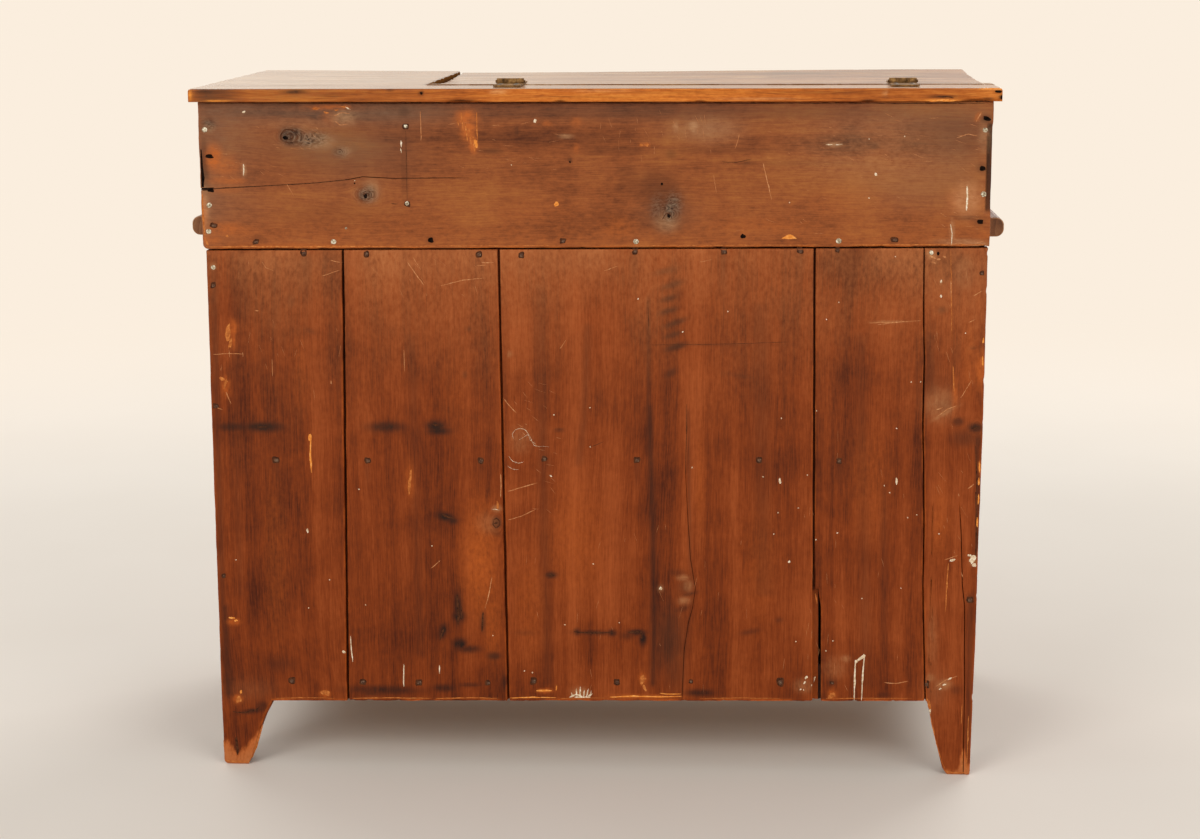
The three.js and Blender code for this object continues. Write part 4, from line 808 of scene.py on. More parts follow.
def uprightBoard(number, material):
    # The board is a grid of rows from the floor or skirt to the level board, with columns that follow its
    # seams. Its outer half stops short of the next board, and its inner half, the tongue, runs on under it.
    name = "back_board_%d" % number
    foot = footLines.get(number)
    topMiddle, skirtMiddle = levelSeam(0) - back["seamGap"], skirtLine(0)
    upper = skirtMiddle + (topMiddle - skirtMiddle) * spread(skirtMiddle, topMiddle, back["gridStep"], True, True)
    footRows = 0
    height = upper
    if foot:
        lower = skirtMiddle * spread(0, skirtMiddle, back["gridStep"], True, True)[:-1]
        footRows = len(lower)
        height = np.concatenate([lower, upper])
    wobble = [waver("seam", height, 3, 60 + k, 2) for k in range(6)]
    gap = [tightSeam["gap"] if k == tightSeam["number"] else back["lapGap"] for k in range(1, 5)]

    lines, lap = [], None
    if number == 5:
        edge = outerLines[5](height) + waver("rightSide", height, 7, 71) + chipped("rightSide", height, 2, 72)
        lines.append(edge + rounded(height, scuffs[5]["corner"]))
    else:
        seam = seamLines[number - 1](height)
        outer = seam + gap[number - 1] / 2 + wobble[number - 1]
        lines = [outer - back["lapShift"], outer]
        if number == brokenLap["board"] - 1:
            # in front of a slot: the lit strip beside the open gap, and below it the closed end, painted near black as
            # the shade of a deep gap
            strip = outer - gap[number - 1] - brokenLap["shoulder"] + brokenLap["inset"]
            closed = outer - gap[number - 1] - brokenShoulder(height) + brokenLap["deepInset"]
            under = smooth((brokenLap["closed"] - height) / brokenLap["closing"])
            reach = strip - brokenLap["past"] + under * np.minimum(closed - strip, 0)
            lines = [reach, strip - brokenLap["edge"], strip, outer]
    if foot and number == 1:
        lines.append(np.where(height < skirtMiddle, foot(height) + rounded(height, back["soleCorner"]),
                              foot(skirtMiddle)))
        footStretch = len(lines) - 1
    if number in splits:
        path, width, deep, opens = splits[number]
        splitX = lineAlong(path, 0)(height)
        lines += [splitX - width / 2, splitX, splitX + width / 2]
    if foot and number == 5:
        lines.append(np.where(height < skirtMiddle, foot(height), foot(skirtMiddle)))
        footStretch = len(lines) - 2
    if number == 1:
        edge = outerLines[1](height) - waver("leftSide", height, 5, 73)
        lines.append(edge - rounded(height, scuffs[1]["corner"]))
    else:
        seam = seamLines[number - 2](height)
        outer = seam - gap[number - 2] / 2 + wobble[number - 1]
        shoulder = back["lapShift"] if number != brokenLap["board"] else brokenShoulder(height)
        lap = len(lines)
        lines += [outer - shoulder, outer]

    first = 0 if number == 5 else 3 if number == brokenLap["board"] - 1 else 1
    last = len(lines) - 1
    fine = {first, last} | ({footStretch if number == 1 else footStretch + 1} if foot else set())
    x, stretch = between(lines, back["gridStep"], fine)
    share = (height - skirtMiddle) / (topMiddle - skirtMiddle)
    bottom = skirtLine(x) + (waver("skirt", x, 4, 80 + number) + chipped("skirt", x, 9, 81 + number))
    if foot:
        sideways = x > footLines[1](skirtMiddle) if number == 1 else x < footLines[5](skirtMiddle)
        bottom = np.where(sideways, skirtLine(x), bottom)
    top = levelSeam(x) - back["seamGap"]
    z = np.where(height[:, None] < skirtMiddle, height[:, None] / skirtMiddle * bottom,
                 bottom + share[:, None] * (top - bottom))

    rows, columns = len(height) - 1, len(stretch)
    solid = np.ones((2, rows, columns), bool)
    solid[0, :, stretch < first] = False
    if lap is not None:
        solid[1, :, stretch == lap] = False
        if number == brokenLap["board"]:
            broken = height[1:] < onBack(brokenLap["top"])[1]
            solid[0] &= ~(broken[:, None] & (stretch == lap)[None, :])
    if foot:
        standing = stretch >= footStretch if number == 1 else stretch <= footStretch
        solid[:, :footRows, ~standing] = False

    fromLow = x - lines[first][:, None]
    fromHigh = lines[last][:, None] - x
    if number == brokenLap["board"]:
        shoulderEdge = lines[last - 1][:, None] - x
        fromHigh = np.where(height[:, None] < onBack(brokenLap["top"])[1], shoulderEdge, fromHigh)
    fromTop = top - z
    fromBottom = z - bottom
    if foot:
        footEdge = (x - foot(z)) * (1 if number == 1 else -1)
        inFoot = height[:, None] < skirtMiddle
        fromBottom = np.where(inFoot | sideways, z, fromBottom)
        if number == 1:
            fromLow = np.where(inFoot, footEdge, fromLow)
        else:
            fromHigh = np.where(inFoot, footEdge, fromHigh)
    relief = uprightRelief(number, x, z)
    for k, distance in enumerate((fromLow, fromHigh, fromTop, fromBottom)):
        corners = chipped("corners", z if k < 2 else x, k, 90 + number)
        relief = relief + rounded(distance, back["arris"] * (1 + corners))
    if number in splits:
        opens = onBack((view["width"] / 2, opens))[1]
        opened = smooth((opens - z) / splitShape["opening"] + splitShape["start"])
        beside = np.abs(x - splitX[:, None]) < width * splitShape["share"]
        closing = smooth((onBack(path[0])[1] - z) / splitShape["end"])
        relief = relief + np.where(beside, splitShape["least"] + deep * opened, 0) * closing

    stones = [(*[float(v) for v in onBack((px, py))], r * pixelSize) for px, py, r in knots.get(number, ())]
    grain = grainField(x, z, -relief, stones, grainShifts[number], number)
    marks = np.zeros(x.shape + (4,))
    paint(marks, stainMark, x, z, lowerStains)
    paintRuns(marks, stainMark, x, z, lowerRuns)
    paintLines(marks, stainMark, x, z, lowerLines)
    paint(marks, wornMark, x, z, lowerWorn)
    paint(marks, paleMark, x, z, lowerPale)
    patches = dust["least"] + dust["patchy"] * rough(x / dust["width"], z / dust["height"], 95)
    dusty = np.exp(-(np.maximum(fromTop, 0) / dust["reach"])) * patches
    cover(marks, wornMark, dusty, dust["worn"])
    cover(marks, paleMark, dusty, dust["pale"])
    nearEdge(marks, (fromLow, fromHigh, fromTop, fromBottom), z, x, uprightWear)
    if foot:
        # bare wood at the sole, with a ragged upper edge
        climb = lineAlong(scuffs[number]["line"], 1)(x) + waver("scuff", x, 3, 96 + number)
        patches = scuffShape["patchy"] * rough(x / scuffShape["width"], z / scuffShape["height"], 97)
        share = smooth((climb - z) / scuffShape["soft"] + scuffShape["least"] + patches)
        scuffed = np.where(inFoot, share, 0)
        cover(marks, wornMark, scuffed, scuffShape["worn"])
        paler = smooth(scuffShape["paleTop"] - z / (climb + scuffShape["over"]))
        cover(marks, paleMark, scuffed * paler, scuffs[number]["pale"])
    # the tongue and the inner faces are darkened: dirt, and painted shade in the seams
    hidden = np.zeros_like(marks)
    hidden[..., stainMark] = back["seamDirtAndShade"][number - 1]
    if number == brokenLap["board"] - 1:
        bare = z < onBack(brokenLap["top"])[1]
        lit = x > strip[:, None] - brokenLap["edge"] / 2
        # outside the lit strip the bare tongue is painted near black: painted shade where the gap is closed
        dirt = np.where(bare, 1.0, back["seamDirtAndShade"][number - 1])
        hidden[..., stainMark] = np.where(bare & lit, brokenLap["stain"], dirt)
        hidden[..., wornMark] = np.where(bare & lit, brokenLap["worn"], 0)
    levels = [backFace - relief, np.full_like(x, lapDepth), np.full_like(x, backInner)]
    layered = np.stack([marks, hidden, hidden * underMarks])
    depths = np.stack([grain - (0, 0, k * layerDepth * mm) for k in range(3)])
    wash = washOf(x, z, lowerTones, lowerVeils, boardTone[number])
    slabMesh("worn_" + name, x, z, np.stack(levels), solid, ((1, 0, 0), (0, 0, 1), (0, 1, 0)), material, "case",
             (name,), {"grain": depths, "marks": layered, "wash": wash}, "red_washed_pine")


redBoards = pineMaterial("red_washed_pine_worn", redWash)
for number in range(1, 6):
    uprightBoard(number, redBoards)
print("upright back boards made")

# The level board above, brown with handling: split from its left end through two knots, and broken away along
# its right edge, which is painted near black as the shaded end of the side board behind it.
level = {
    "split": ((200, 189.5), (264, 186), (315, 183), (348, 179.6), (362, 176.8), (396, 178.5), (460, 177.7)),
    "splitWidth": 1.0,
    "splitMouth": 1.3,
    "splitDepth": 5.0,
    "knots": ((289, 137, 8), (366.6, 194.5, 8), (340, 152, 3.5), (668, 214, 6)),
    "splitEnd": ((470, 178), 90),  # where the split starts, and the length over which it deepens
    "mouthEnd": ((216, 188), 14),
    "brokenEdge": ((986.0, 170), (987, 121), (987, 214)),  # a pixel on it, and its ends
    "brokenDepth": 4.5,
    "brokenSoft": (1.4, 6),
    "corner": 6.0,
    "lowWear": (60, 0.28),  # how far up the wood is rubbed from its lower edge, and how strongly
    "hiddenStain": 0.5,
    "grainShift": (4000, 900, 6),
}
levelStains = (
    (652, 186, 17, 16, 0.4), (666, 212, 24, 28, 0.34), (628, 172, 12, 7, 0.2), (286, 136, 6, 8, 1.0),
    (294, 133, 8, 5, 0.9), (290, 143, 7, 3, 0.8), (310, 142, 16, 6, 0.3), (340, 118, 8, 5, 0.35),
    (340, 152, 4, 4, 0.6), (208, 123, 5, 4, 0.5), (363, 197, 4, 4, 0.7), (371, 189, 4, 4, 0.45),
    (662, 198, 17, 26, 0.5), (669, 215, 6, 7, 0.6), (491, 151, 12, 3, 0.5), (517, 132, 2.5, 6, 0.5),
    (671, 154, 6, 5, 0.35), (747, 163, 5, 1.8, 0.6, -15), (875, 146, 4, 3, 0.5), (570, 160, 2, 2, 0.8),
    (970, 218, 16, 2, 0.55), (950, 136, 44, 24, 0.3), (205, 168, 3.5, 24, 0.85), (350, 150, 90, 26, 0.22),
    (330, 215, 60, 14, 0.15), (403, 165, 2, 38, 0.35), (520, 138, 120, 7, 0.2), (700, 112, 240, 8, 0.22),
    (258, 240, 6, 5, 0.4), (430, 240, 5, 5, 0.5), (894, 240, 6, 4, 0.5), (986, 119, 6, 5, 0.6),
    (982, 168, 6, 5, 0.5), (980, 222, 6, 5, 0.5), (212, 225, 6, 4, 0.5), (210, 156, 7, 4, 0.6),
    (615, 150, 30, 5, 0.2), (640, 185, 24, 12, 0.25), (720, 150, 60, 4, 0.2), (800, 163, 70, 3, 0.15),
    (407, 165, 1.5, 40, 0.4), (404, 112, 6, 5, 0.4),
)
levelWorn = (
    (466, 118, 11, 8, 0.9), (468, 130, 8, 11, 0.95), (473, 144, 4, 9, 1.0), (214, 158, 9, 13, 0.9),
    (222, 166, 18, 12, 0.5), (224, 229, 26, 8, 0.6), (330, 107, 26, 3, 0.6), (212, 240, 12, 5, 0.6),
    (204, 215, 4, 22, 0.7), (207, 240, 8, 6, 0.7), (300, 246, 90, 2, 0.6), (225, 181, 22, 4, 0.5),
    (229, 166, 12, 14, 0.3), (236, 231, 32, 8, 0.4), (547, 124, 5, 3, 0.45), (576, 122, 6, 5, 0.4),
    (576, 148, 3, 6, 0.45), (647, 145, 3, 2, 0.8), (641, 145, 2.5, 2, 0.6), (978, 117, 5, 2.5, 0.6, -60),
    (618, 228, 26, 15, 0.4), (760, 226, 70, 12, 0.3), (850, 205, 60, 24, 0.22), (966, 200, 20, 16, 0.5),
    (540, 215, 80, 22, 0.2), (330, 108, 60, 5, 0.2), (225, 190, 20, 5, 0.3), (985, 235, 8, 8, 0.4),
    (330, 117, 10, 7, 0.3),
)
levelPale = (
    (318, 141, 15, 7, 0.55), (343, 118, 13, 7, 0.4), (243.8, 170, 2, 6, 0.5), (209, 128, 6, 4, 0.35),
    (693.8, 127, 5, 7, 0.5), (675.8, 127, 3, 6, 0.35), (834, 144.6, 9, 1.8, 0.6), (565.7, 136.3, 7, 1.8, 0.5),
    (967, 199, 14, 16, 0.4), (967.5, 196, 2.2, 14, 0.6), (960, 242, 24, 3, 0.35), (372, 190, 8, 10, 0.35),
    (667, 222, 11, 10, 0.4), (985, 138, 7, 14, 0.25), (344, 152, 7, 5, 0.35), (300, 125, 40, 6, 0.12),
    (952, 232, 2.2, 12, 0.4), (980, 245, 12, 3, 0.4), (710, 130, 30, 12, 0.2), (880, 150, 80, 30, 0.14),
    (205, 205, 5, 30, 0.3),
)
levelKnots = (
    (672, 208, 9, 15, 0.8, 20), (658, 208, 8, 14, 0.4), (209, 125, 7, 6, 0.6), (367, 194.5, 10, 9, 0.8),
    (308, 139, 20, 8, 0.8), (341, 152, 7, 5, 0.6), (292, 136, 13, 9, 0.7),
)


def levelRelief(x, z):
    return planed(z, x, 200)


def levelBoard(material):
    low, high = boxOf["upper_back_board"]
    x = low[0] + (high[0] - low[0]) * spread(low[0], high[0], back["gridStep"], True, True)
    split = lineAlong(level["split"], 1)(x)
    bottom = levelSeam(x) + waver("levelSeam", x, 3, 101) + chipped("levelSeam", x, 8, 102)
    mouth, mouthLength = level["mouthEnd"]
    half = level["splitWidth"] / 2 + level["splitMouth"] * smooth((x - onBack(mouth)[0]) / mouthLength)
    lines = [bottom, split - half, split, split + half, np.full_like(x, high[2])]
    z, stretch = between(lines, back["gridStep"], {0, 4})
    leftEdge = waves["levelLeft"][0] + waver("levelLeft", z, 4, 103) + rounded(z - bottom[:, None], level["corner"])
    rightEdge = waves["levelRight"][0] + waver("levelRight", z, 5, 104)
    share = ((x - low[0]) / (high[0] - low[0]))[:, None]
    across = low[0] + rightEdge + share * (high[0] - leftEdge - low[0] - rightEdge)
    fromLeft, fromRight = high[0] - leftEdge - across, across - low[0] - rightEdge
    fromBottom, fromTop = z - bottom[:, None], high[2] - z
    relief = levelRelief(across, z)
    for k, distance in enumerate((fromLeft, fromRight, fromBottom, fromTop)):
        corners = chipped("levelCorners", z if k < 2 else across, k, 105)
        relief = relief + rounded(distance, back["arris"] * (1 + corners))
    start, deepening = level["splitEnd"]
    opened = smooth((across - onBack(start)[0]) / deepening)
    beside = np.abs(z - split[:, None]) < half[:, None] * splitShape["share"]
    relief = relief + np.where(beside, level["splitDepth"] * opened, 0)
    soft, softEnd = level["brokenSoft"]
    edge, upperEnd, lowerEnd = level["brokenEdge"]
    broken = onBack(edge)[0] + waver("brokenEdge", z, 3, 106)
    above, below = onBack(upperEnd)[1], onBack(lowerEnd)[1]
    lost = smooth((broken - across) / soft) * smooth((above - z) / softEnd) * smooth((z - below) / softEnd)
    relief = relief + level["brokenDepth"] * lost
    stones = [(*[float(v) for v in onBack((px, py))[::-1]], r * pixelSize) for px, py, r in level["knots"]]
    grain = grainField(z, across, -relief, stones, level["grainShift"], 107)
    marks = np.zeros(z.shape + (4,))
    paint(marks, stainMark, across, z, levelStains)
    paint(marks, wornMark, across, z, levelWorn)
    paint(marks, paleMark, across, z, levelPale)
    paint(marks, knotMark, across, z, levelKnots)
    # the broken edge is painted near black: painted shade, as the side board's end in shadow
    cover(marks, stainMark, lost, 1.0)
    reach, strength = level["lowWear"]
    cover(marks, wornMark, np.exp(-(np.maximum(fromBottom, 0) / reach)), strength)
    nearEdge(marks, (fromLeft, fromRight, fromBottom, fromTop), z, across, levelWear)
    hidden = np.zeros_like(marks)
    hidden[..., stainMark] = level["hiddenStain"]
    levels = np.stack([backFace - relief, np.full_like(z, backInner)])
    slabMesh("worn_upper_back_board", z, across, levels, np.ones((1, len(x) - 1, len(stretch))),
             ((0, 0, 1), (1, 0, 0), (0, 1, 0)), material, "case", ("upper_back_board",),
             {"grain": np.stack([grain, grain - (0, 0, 2 * layerDepth * mm)]), "marks": np.stack([marks, hidden]),
              "wash": washOf(across, z, levelTones, levelVeils)}, "brown_washed_pine")


levelBoard(pineMaterial("brown_washed_pine_worn", brownWash))
print("level back board made")

# The top: a rail along the back that carries the hinges, a fixed board and a lid. The lid has gone hollow and its
# front corner at the joint hangs lower, so that the fixed board's dark end shows beside it.
top = {
    "gridStep": 4.0,
    "fixedDrop": 1.6,
    "lidHollow": 5.2,
    "hollowStart": 0.08,
    "hollowPower": 0.8,
    "lidSag": 3.6,
    "lidProud": 1.1,  # at the rail, and gone within a share of the depth
    "proudReach": 30,
    "lidThickness": 13.1,
    "arris": 1.6,
    # tones are a painted shading across the top: darker towards -X, where it catches less sheen, and lighter towards
    # +X; dullness makes the -X end rougher
    "tonePlaces": (-457, -250, -50, 150, 457),
    "tones": (-0.08, -0.06, -0.04, 0.0, 0.04),
    "dullness": (0.5, 0.38, 0.22, 0.06, 0.0),
    "railLevels": (0, 0.5, 1.3, 2.6, 4.6, 7.0, 9.4, 11.6, 13.4, 14.4, 15.0),
    "railStep": 3.0,
    "faceStrip": 12,  # the part of the rail by its back face that is laid out closely
    "chips": ((975, 12, 2.6, 4.5), (990, 8, 1.6, 3.0), (462, 14, 1.6, 3.0), (560, 5, 1.0, 2.2), (700, 5, 0.9, 2.0),
              (868, 7, 1.2, 2.6), (345, 6, 0.8, 2.0)),
    "lowerEdge": 101,  # the pixel row of the rail's lower edge
    "railRow": 95,  # and of the middle of its face
    "railGrain": (5200, 300, -20),
}
# The rail's corners as radii in millimetres: at its ends, along its front, above and below its back face, and where
# that face meets the ends and the top. The rest are the shares and reaches of its wear.
rail = {"endCorner": 1.6, "frontCorner": 0.9, "upperCorner": 1.5, "lowerCorner": 1.0, "endFace": 1.4, "topEdge": 1.2,
        "planing": 0.8, "wornReach": 9, "endInset": 0.4, "endReach": 4, "faceStart": 8, "faceSoft": 5}
# Waves of the rail's back face: their height, and their length along and down; then how a chip varies, and how far up
# it reaches.
railWaves = {"wear": (0.35, 60, 8), "ripple": (0.25, 11, 3), "chip": (0.5, 3, 3), "climb": 1.6}
# Marks on the top boards: the reach and strength of the rubbed edges and of the dirt at the back and at the joint;
# the length, width and strength of stains and of pale rub, and how seldom they come; and the dark underside.
topMarks = {"worn": (2.5, 0.25), "dirt": (2.4, 0.95), "stain": (120, 26, 0.35, 0.5), "pale": (90, 40, 0.3, 0.6),
            "sharp": 1.5, "under": (0.5, 0.45, 9), "middle": 0.6, "lowerCorner": 0.5}
# Dark spots on the rail's back face: stains, and along its chipped lower edge both dirt and painted shade.
railStainsAndShade = (
    (294, 92, 13, 2.4, 0.8), (330, 96, 12, 1.8, 0.3), (390, 90, 4, 1.4, 0.6), (421, 93, 2, 2.4, 1.0),
    (204, 92, 9, 2, 0.6), (975, 101.5, 12, 1.6, 1.0), (988, 99, 6, 1.4, 0.7), (998.6, 91.4, 3.4, 1.5, 1.0),
    (1001, 97, 3, 2.4, 0.9), (462, 100.5, 14, 1.1, 0.9), (560, 101, 5, 0.9, 0.7), (868, 100.5, 7, 1.1, 0.8),
    (700, 101, 5, 0.9, 0.6), (942, 97, 14, 1.3, 0.95), (660, 93, 70, 0.8, 0.3), (580, 97, 60, 0.8, 0.25),
    (820, 92, 60, 1.2, 0.35),
)
railPale = (
    (498, 92, 8, 2, 0.45), (995, 88.5, 10, 1.2, 0.8), (885, 93, 1.6, 3, 0.5), (600, 91, 30, 1.2, 0.25),
    (760, 99, 40, 1.2, 0.25),
)
railBright = (
    (190, 95, 2, 5, 0.9), (217, 101, 13, 1.0, 0.8), (940, 100.3, 16, 1.2, 0.9), (990, 89, 14, 1.2, 0.8),
    (620, 98, 90, 2.0, 0.3), (700, 93, 60, 2.0, 0.3), (300, 100, 30, 1.0, 0.4),
)
# The tone and veil of the rail's back face along it, at pixels from the left.
railTones = (
    (188, -0.1, 0.3), (205, -0.25, 0.75), (225, -0.2, 0.6), (250, 0.04, 0.35), (300, 0.16, 0.45), (345, 0.0, 0.35),
    (370, -0.1, 0.35), (420, -0.05, 0.25), (480, 0.0, 0.1), (560, 0.14, 0.0), (640, 0.16, 0.0), (740, 0.1, 0.0),
    (800, 0.0, 0.1), (860, -0.08, 0.2), (930, -0.02, 0.2), (965, 0.06, 0.2), (1003, 0.1, 0.0),
)


def railFace(x, z, depth):
    # how far the rail's back face lies behind its flat: wear, and chips along the lower edge
    thick = top["railLevels"][-1]
    (high, long, tall), (small, shortLong, shortTall), (uneven, chipLong, chipTall), climb = railWaves.values()
    face = high * (1 + rough(x / long, z / tall, 121)) + small * rough(x / shortLong, z / shortTall, 122)
    for px, wide, up, deep in top["chips"]:
        middle = onBack((px, top["lowerEdge"]), boxOf["hinge_rail"][1][1])[0]
        share = np.exp(-(((x - middle) / wide / pixelSize) ** 2))
        share = share * (1 + uneven * rough(x / chipLong, z / chipTall, 123))
        face = face + deep * share * smooth((up * climb - (thick - depth)) / (up * climb))
    return np.maximum(face, 0)


def hingeRail(material, upper):
    low, high = boxOf["hinge_rail"]
    thick = top["railLevels"][-1]
    x = low[0] + (high[0] - low[0]) * spread(low[0], high[0], top["railStep"], True, True)
    line = np.ones_like(x)
    lines = [low[1] * line, (high[1] - top["faceStrip"]) * line, high[1] * line]
    y, stretch = between(lines, back["gridStep"], {0, 2})
    xs = np.broadcast_to(x[:, None], y.shape)
    ends, front = rounded(high[0] - np.abs(xs), rail["endCorner"]), rounded(y - low[1], rail["frontCorner"])
    crown = planed(y, xs, 124) * rail["planing"] + ends + front
    near = smooth((y - (high[1] - rail["wornReach"])) / rail["wornReach"])
    atEnd = np.sign(xs) * smooth((np.abs(xs) - high[0] + rail["endReach"]) / rail["endReach"])
    ys, zs, xe = [], [], []
    for depth in top["railLevels"]:
        place = np.array(depth)
        corner = rounded(place, rail["upperCorner"]) + rounded(thick - place, rail["lowerCorner"])
        edge = rounded(high[1] - y, rail["topEdge"]) * (depth == 0)
        ys.append(y - (railFace(xs, topHeight - depth, depth) + corner) * near)
        zs.append(topHeight - depth - crown * (1 - depth / thick) - edge)
        xe.append(xs - (rounded(place, rail["endFace"]) + rail["endInset"]) * atEnd)
    ys, zs, xe = np.stack(ys), np.stack(zs), np.stack(xe)
    onFace = smooth((ys - high[1] + rail["faceStart"]) / rail["faceSoft"])
    marks = np.zeros(zs.shape + (4,))
    for channel, spots in ((stainMark, railStainsAndShade), (paleMark, railPale), (wornMark, railBright)):
        for px, py, wide, tall, strength in spots:
            cx, cz = onBack((px, py), high[1])
            square = ((xe - cx) / wide / pixelSize) ** 2 + ((zs - cz) / tall / pixelSize) ** 2
            cover(marks, channel, np.exp(-(square**spotPower)) * onFace, strength)
    row = top["railRow"]
    stops = sorted((float(onBack((px, row), high[1])[0]), tone, veil) for px, tone, veil in railTones)
    places, tones, veils = (np.array(column) for column in zip(*stops))
    wash = np.stack([np.interp(xe, places, tones) * onFace, np.interp(xe, places, veils) * onFace,
                     np.interp(xe, top["tonePlaces"], top["dullness"]) * (1 - onFace)], -1)
    grain = grainField(ys + (topHeight - zs), xe, zs - topHeight, [], top["railGrain"], 125)
    slabMesh("worn_hinge_rail", ys, xe, zs, np.ones((len(top["railLevels"]) - 1, len(x) - 1, len(stretch))),
             ((0, 1, 0), (1, 0, 0), (0, 0, 1)), material, "case", ("hinge_rail",),
             {"grain": grain, "marks": marks, "wash": wash}, "varnished_top_pine", upper)


def topBoard(name, node, body, materials, shape, shift, seed, jointSide):
    # a board of the top, laid with its grain along x: shape gives the heights of its upper and lower face. The
    # materials are the one of its sides and the one of its upper face. The side at the joint with the other board,
    # 0 or 1, is dark with dirt.
    low, high = boxOf[node]
    x = low[0] + (high[0] - low[0]) * spread(low[0], high[0], top["gridStep"], True, True)
    line = np.ones_like(x)
    y, stretch = between([low[1] * line, high[1] * line], top["gridStep"], {0, 1})
    xs = np.broadcast_to(x[:, None], y.shape)
    upper, lower = shape(xs, y, low, high)
    edges = (xs - low[0], high[0] - xs, y - low[1], high[1] - y)
    corner = sum(rounded(distance, top["arris"] * (1 + chipped("topCorners", y if k < 2 else xs, k, seed)))
                 for k, distance in enumerate(edges))
    relief = planed(y, xs, seed)
    # the tones paint shade on the top, darker towards -X
    tones, dullness = (np.interp(xs, top["tonePlaces"], top[key]) for key in ("tones", "dullness"))
    wash = np.stack([tones, np.zeros_like(tones), dullness], -1)
    marks = np.zeros(y.shape + (4,))
    reach, strength = topMarks["worn"]
    cover(marks, wornMark, np.exp(-((np.minimum.reduce(edges) / reach) ** 2)), strength)
    reach, strength = topMarks["dirt"]
    for distance in (high[1] - y, edges[jointSide]):
        cover(marks, stainMark, np.exp(-((distance / reach) ** 2)), strength)
    for k, (channel, key) in enumerate(((stainMark, "stain"), (paleMark, "pale"))):
        long, wide, strength, seldom = topMarks[key]
        cover(marks, channel, smooth(topMarks["sharp"] * rough(xs / long, y / wide, seed + 1 + k) - seldom), strength)
    stained, darker, reach = topMarks["under"]
    under = np.zeros_like(marks)
    under[..., stainMark] = stained + darker * np.exp(-((edges[jointSide] / reach) ** 2))
    zs = np.stack([upper - relief - corner, (upper + lower) / 2, lower + topMarks["lowerCorner"] * corner])
    grain = np.stack([grainField(y, xs, z - topHeight, [], shift, seed) for z in zs])
    marks = np.stack([marks, under * topMarks["middle"], under])
    slabMesh(name, y, xs, zs, np.ones((2, len(x) - 1, len(stretch))), ((0, 1, 0), (1, 0, 0), (0, 0, 1)), materials[0],
             body, (node,), {"grain": grain, "marks": marks, "wash": wash}, "varnished_top_pine", materials[1])


def fixedShape(x, y, low, high):
    # the front corner at the joint has dropped a little
    drop = top["fixedDrop"] * smooth((high[0] - x) / (high[0] - low[0])) * smooth((high[1] - y) / (high[1] - low[1]))
    return high[2] - drop, low[2] + 0 * x


def lidShape(x, y, low, high):
    # a hollow that is an arc of a sine from back to front, and a sag towards the front at the joint
    forward = (high[1] - y) / (high[1] - low[1])
    start = top["hollowStart"]
    hollow = np.sin(np.pi * np.clip((forward - start) / (1 - start), 0, 1) ** top["hollowPower"])
    sag = top["lidSag"] * forward**2 * smooth((x - low[0]) / (high[0] - low[0]))
    upper = topHeight + top["lidProud"] * np.exp(-forward * top["proudReach"]) - top["lidHollow"] * hollow - sag
    return upper, np.maximum(low[2], upper - top["lidThickness"])


topPine = pineMaterial("old_shellac_pine", topVarnish)
hingeRail(pineMaterial("rubbed_rail_pine", railWorn), topPine)
topSides = (pineMaterial("rubbed_edge_pine", edgeWorn), topPine)
topBoard("worn_fixed_top_board", "fixed_top_board", "case", topSides, fixedShape, (6100, 200, -14), 131, 0)
topBoard("worn_lid_board", "lid_board", "lid", topSides, lidShape, (7300, 1900, 16), 141, 1)
print("top made")

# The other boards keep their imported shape, but get worn edges and a grain of their own.
# Sizes are in millimetres and angles in degrees: corners closer than merge are one, faces flatter than flat are
# one, and edges sharper than sharp are rounded. Each board is a step further along the grain, and in tone.
roundedEdges = {"radius": 1.5, "merge": 0.01, "flat": 1, "sharp": 35, "worn": 0.85, "tone": 0.07, "toneStep": 2.4,
                "grainStep": (0.37, 0.91, 0.003), "firstStep": 10, "crease": 20}
bodyOf = {piece: body for body, pieces in frame["record"]["behaviour"]["bodies"].items() for piece in pieces}
slotOf = {part["node"]: part["material_slot"] for part in frame["record"]["subparts"]}


def bevelled(piece, material, grain, count):
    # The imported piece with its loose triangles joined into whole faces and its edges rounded. The wood is rubbed
    # bare where every face of a corner is one that the bevel made: along the middle of each rounded edge.
    node = frame["nodes"][piece]
    work = bmesh.new()
    work.from_mesh(node.data)
    work.transform(node.matrix_world)
    bmesh.ops.remove_doubles(work, verts=work.verts, dist=roundedEdges["merge"] * mm)
    bmesh.ops.dissolve_limit(work, angle_limit=math.radians(roundedEdges["flat"]), verts=work.verts, edges=work.edges)
    sharp = [edge for edge in work.edges if edge.calc_face_angle(0) > math.radians(roundedEdges["sharp"])]
    bmesh.ops.bevel(work, geom=sharp, offset=roundedEdges["radius"] * mm, segments=2, profile=0.5, affect="EDGES",
                    material=1, clamp_overlap=True)
    mesh = bpy.data.meshes.new("rounded")
    work.to_mesh(mesh)
    work.free()
    points = np.empty(len(mesh.vertices) * 3)
    corners, made, sizes = (np.empty(len(items), int) for items in (mesh.loops, mesh.polygons, mesh.polygons))
    for items, key, values in ((mesh.vertices, "co", points), (mesh.loops, "vertex_index", corners),
                               (mesh.polygons, "material_index", made), (mesh.polygons, "loop_total", sizes)):
        items.foreach_get(key, values)
    bpy.data.meshes.remove(mesh)
    points = points.reshape(-1, 3)
    rubbed = np.ones(len(points))
    np.minimum.at(rubbed, corners, np.repeat(made, sizes))
    marks = np.zeros((len(points), 4))
    marks[:, wornMark] = roundedEdges["worn"] * rubbed
    wash = np.zeros((len(points), 3))
    wash[:, 0] = roundedEdges["tone"] * math.sin(roundedEdges["toneStep"] * count)
    moved = points[:, list(grainOrder[grain])] + np.array(roundedEdges["grainStep"]) * count
    faces = [face.tolist() for face in np.split(corners, np.cumsum(sizes)[:-1])]
    makeMesh("worn_" + piece, points / mm, faces, material, bodyOf[piece], (piece,),
             {"grain": moved, "marks": marks, "wash": wash}, roundedEdges["crease"], slotOf[piece])


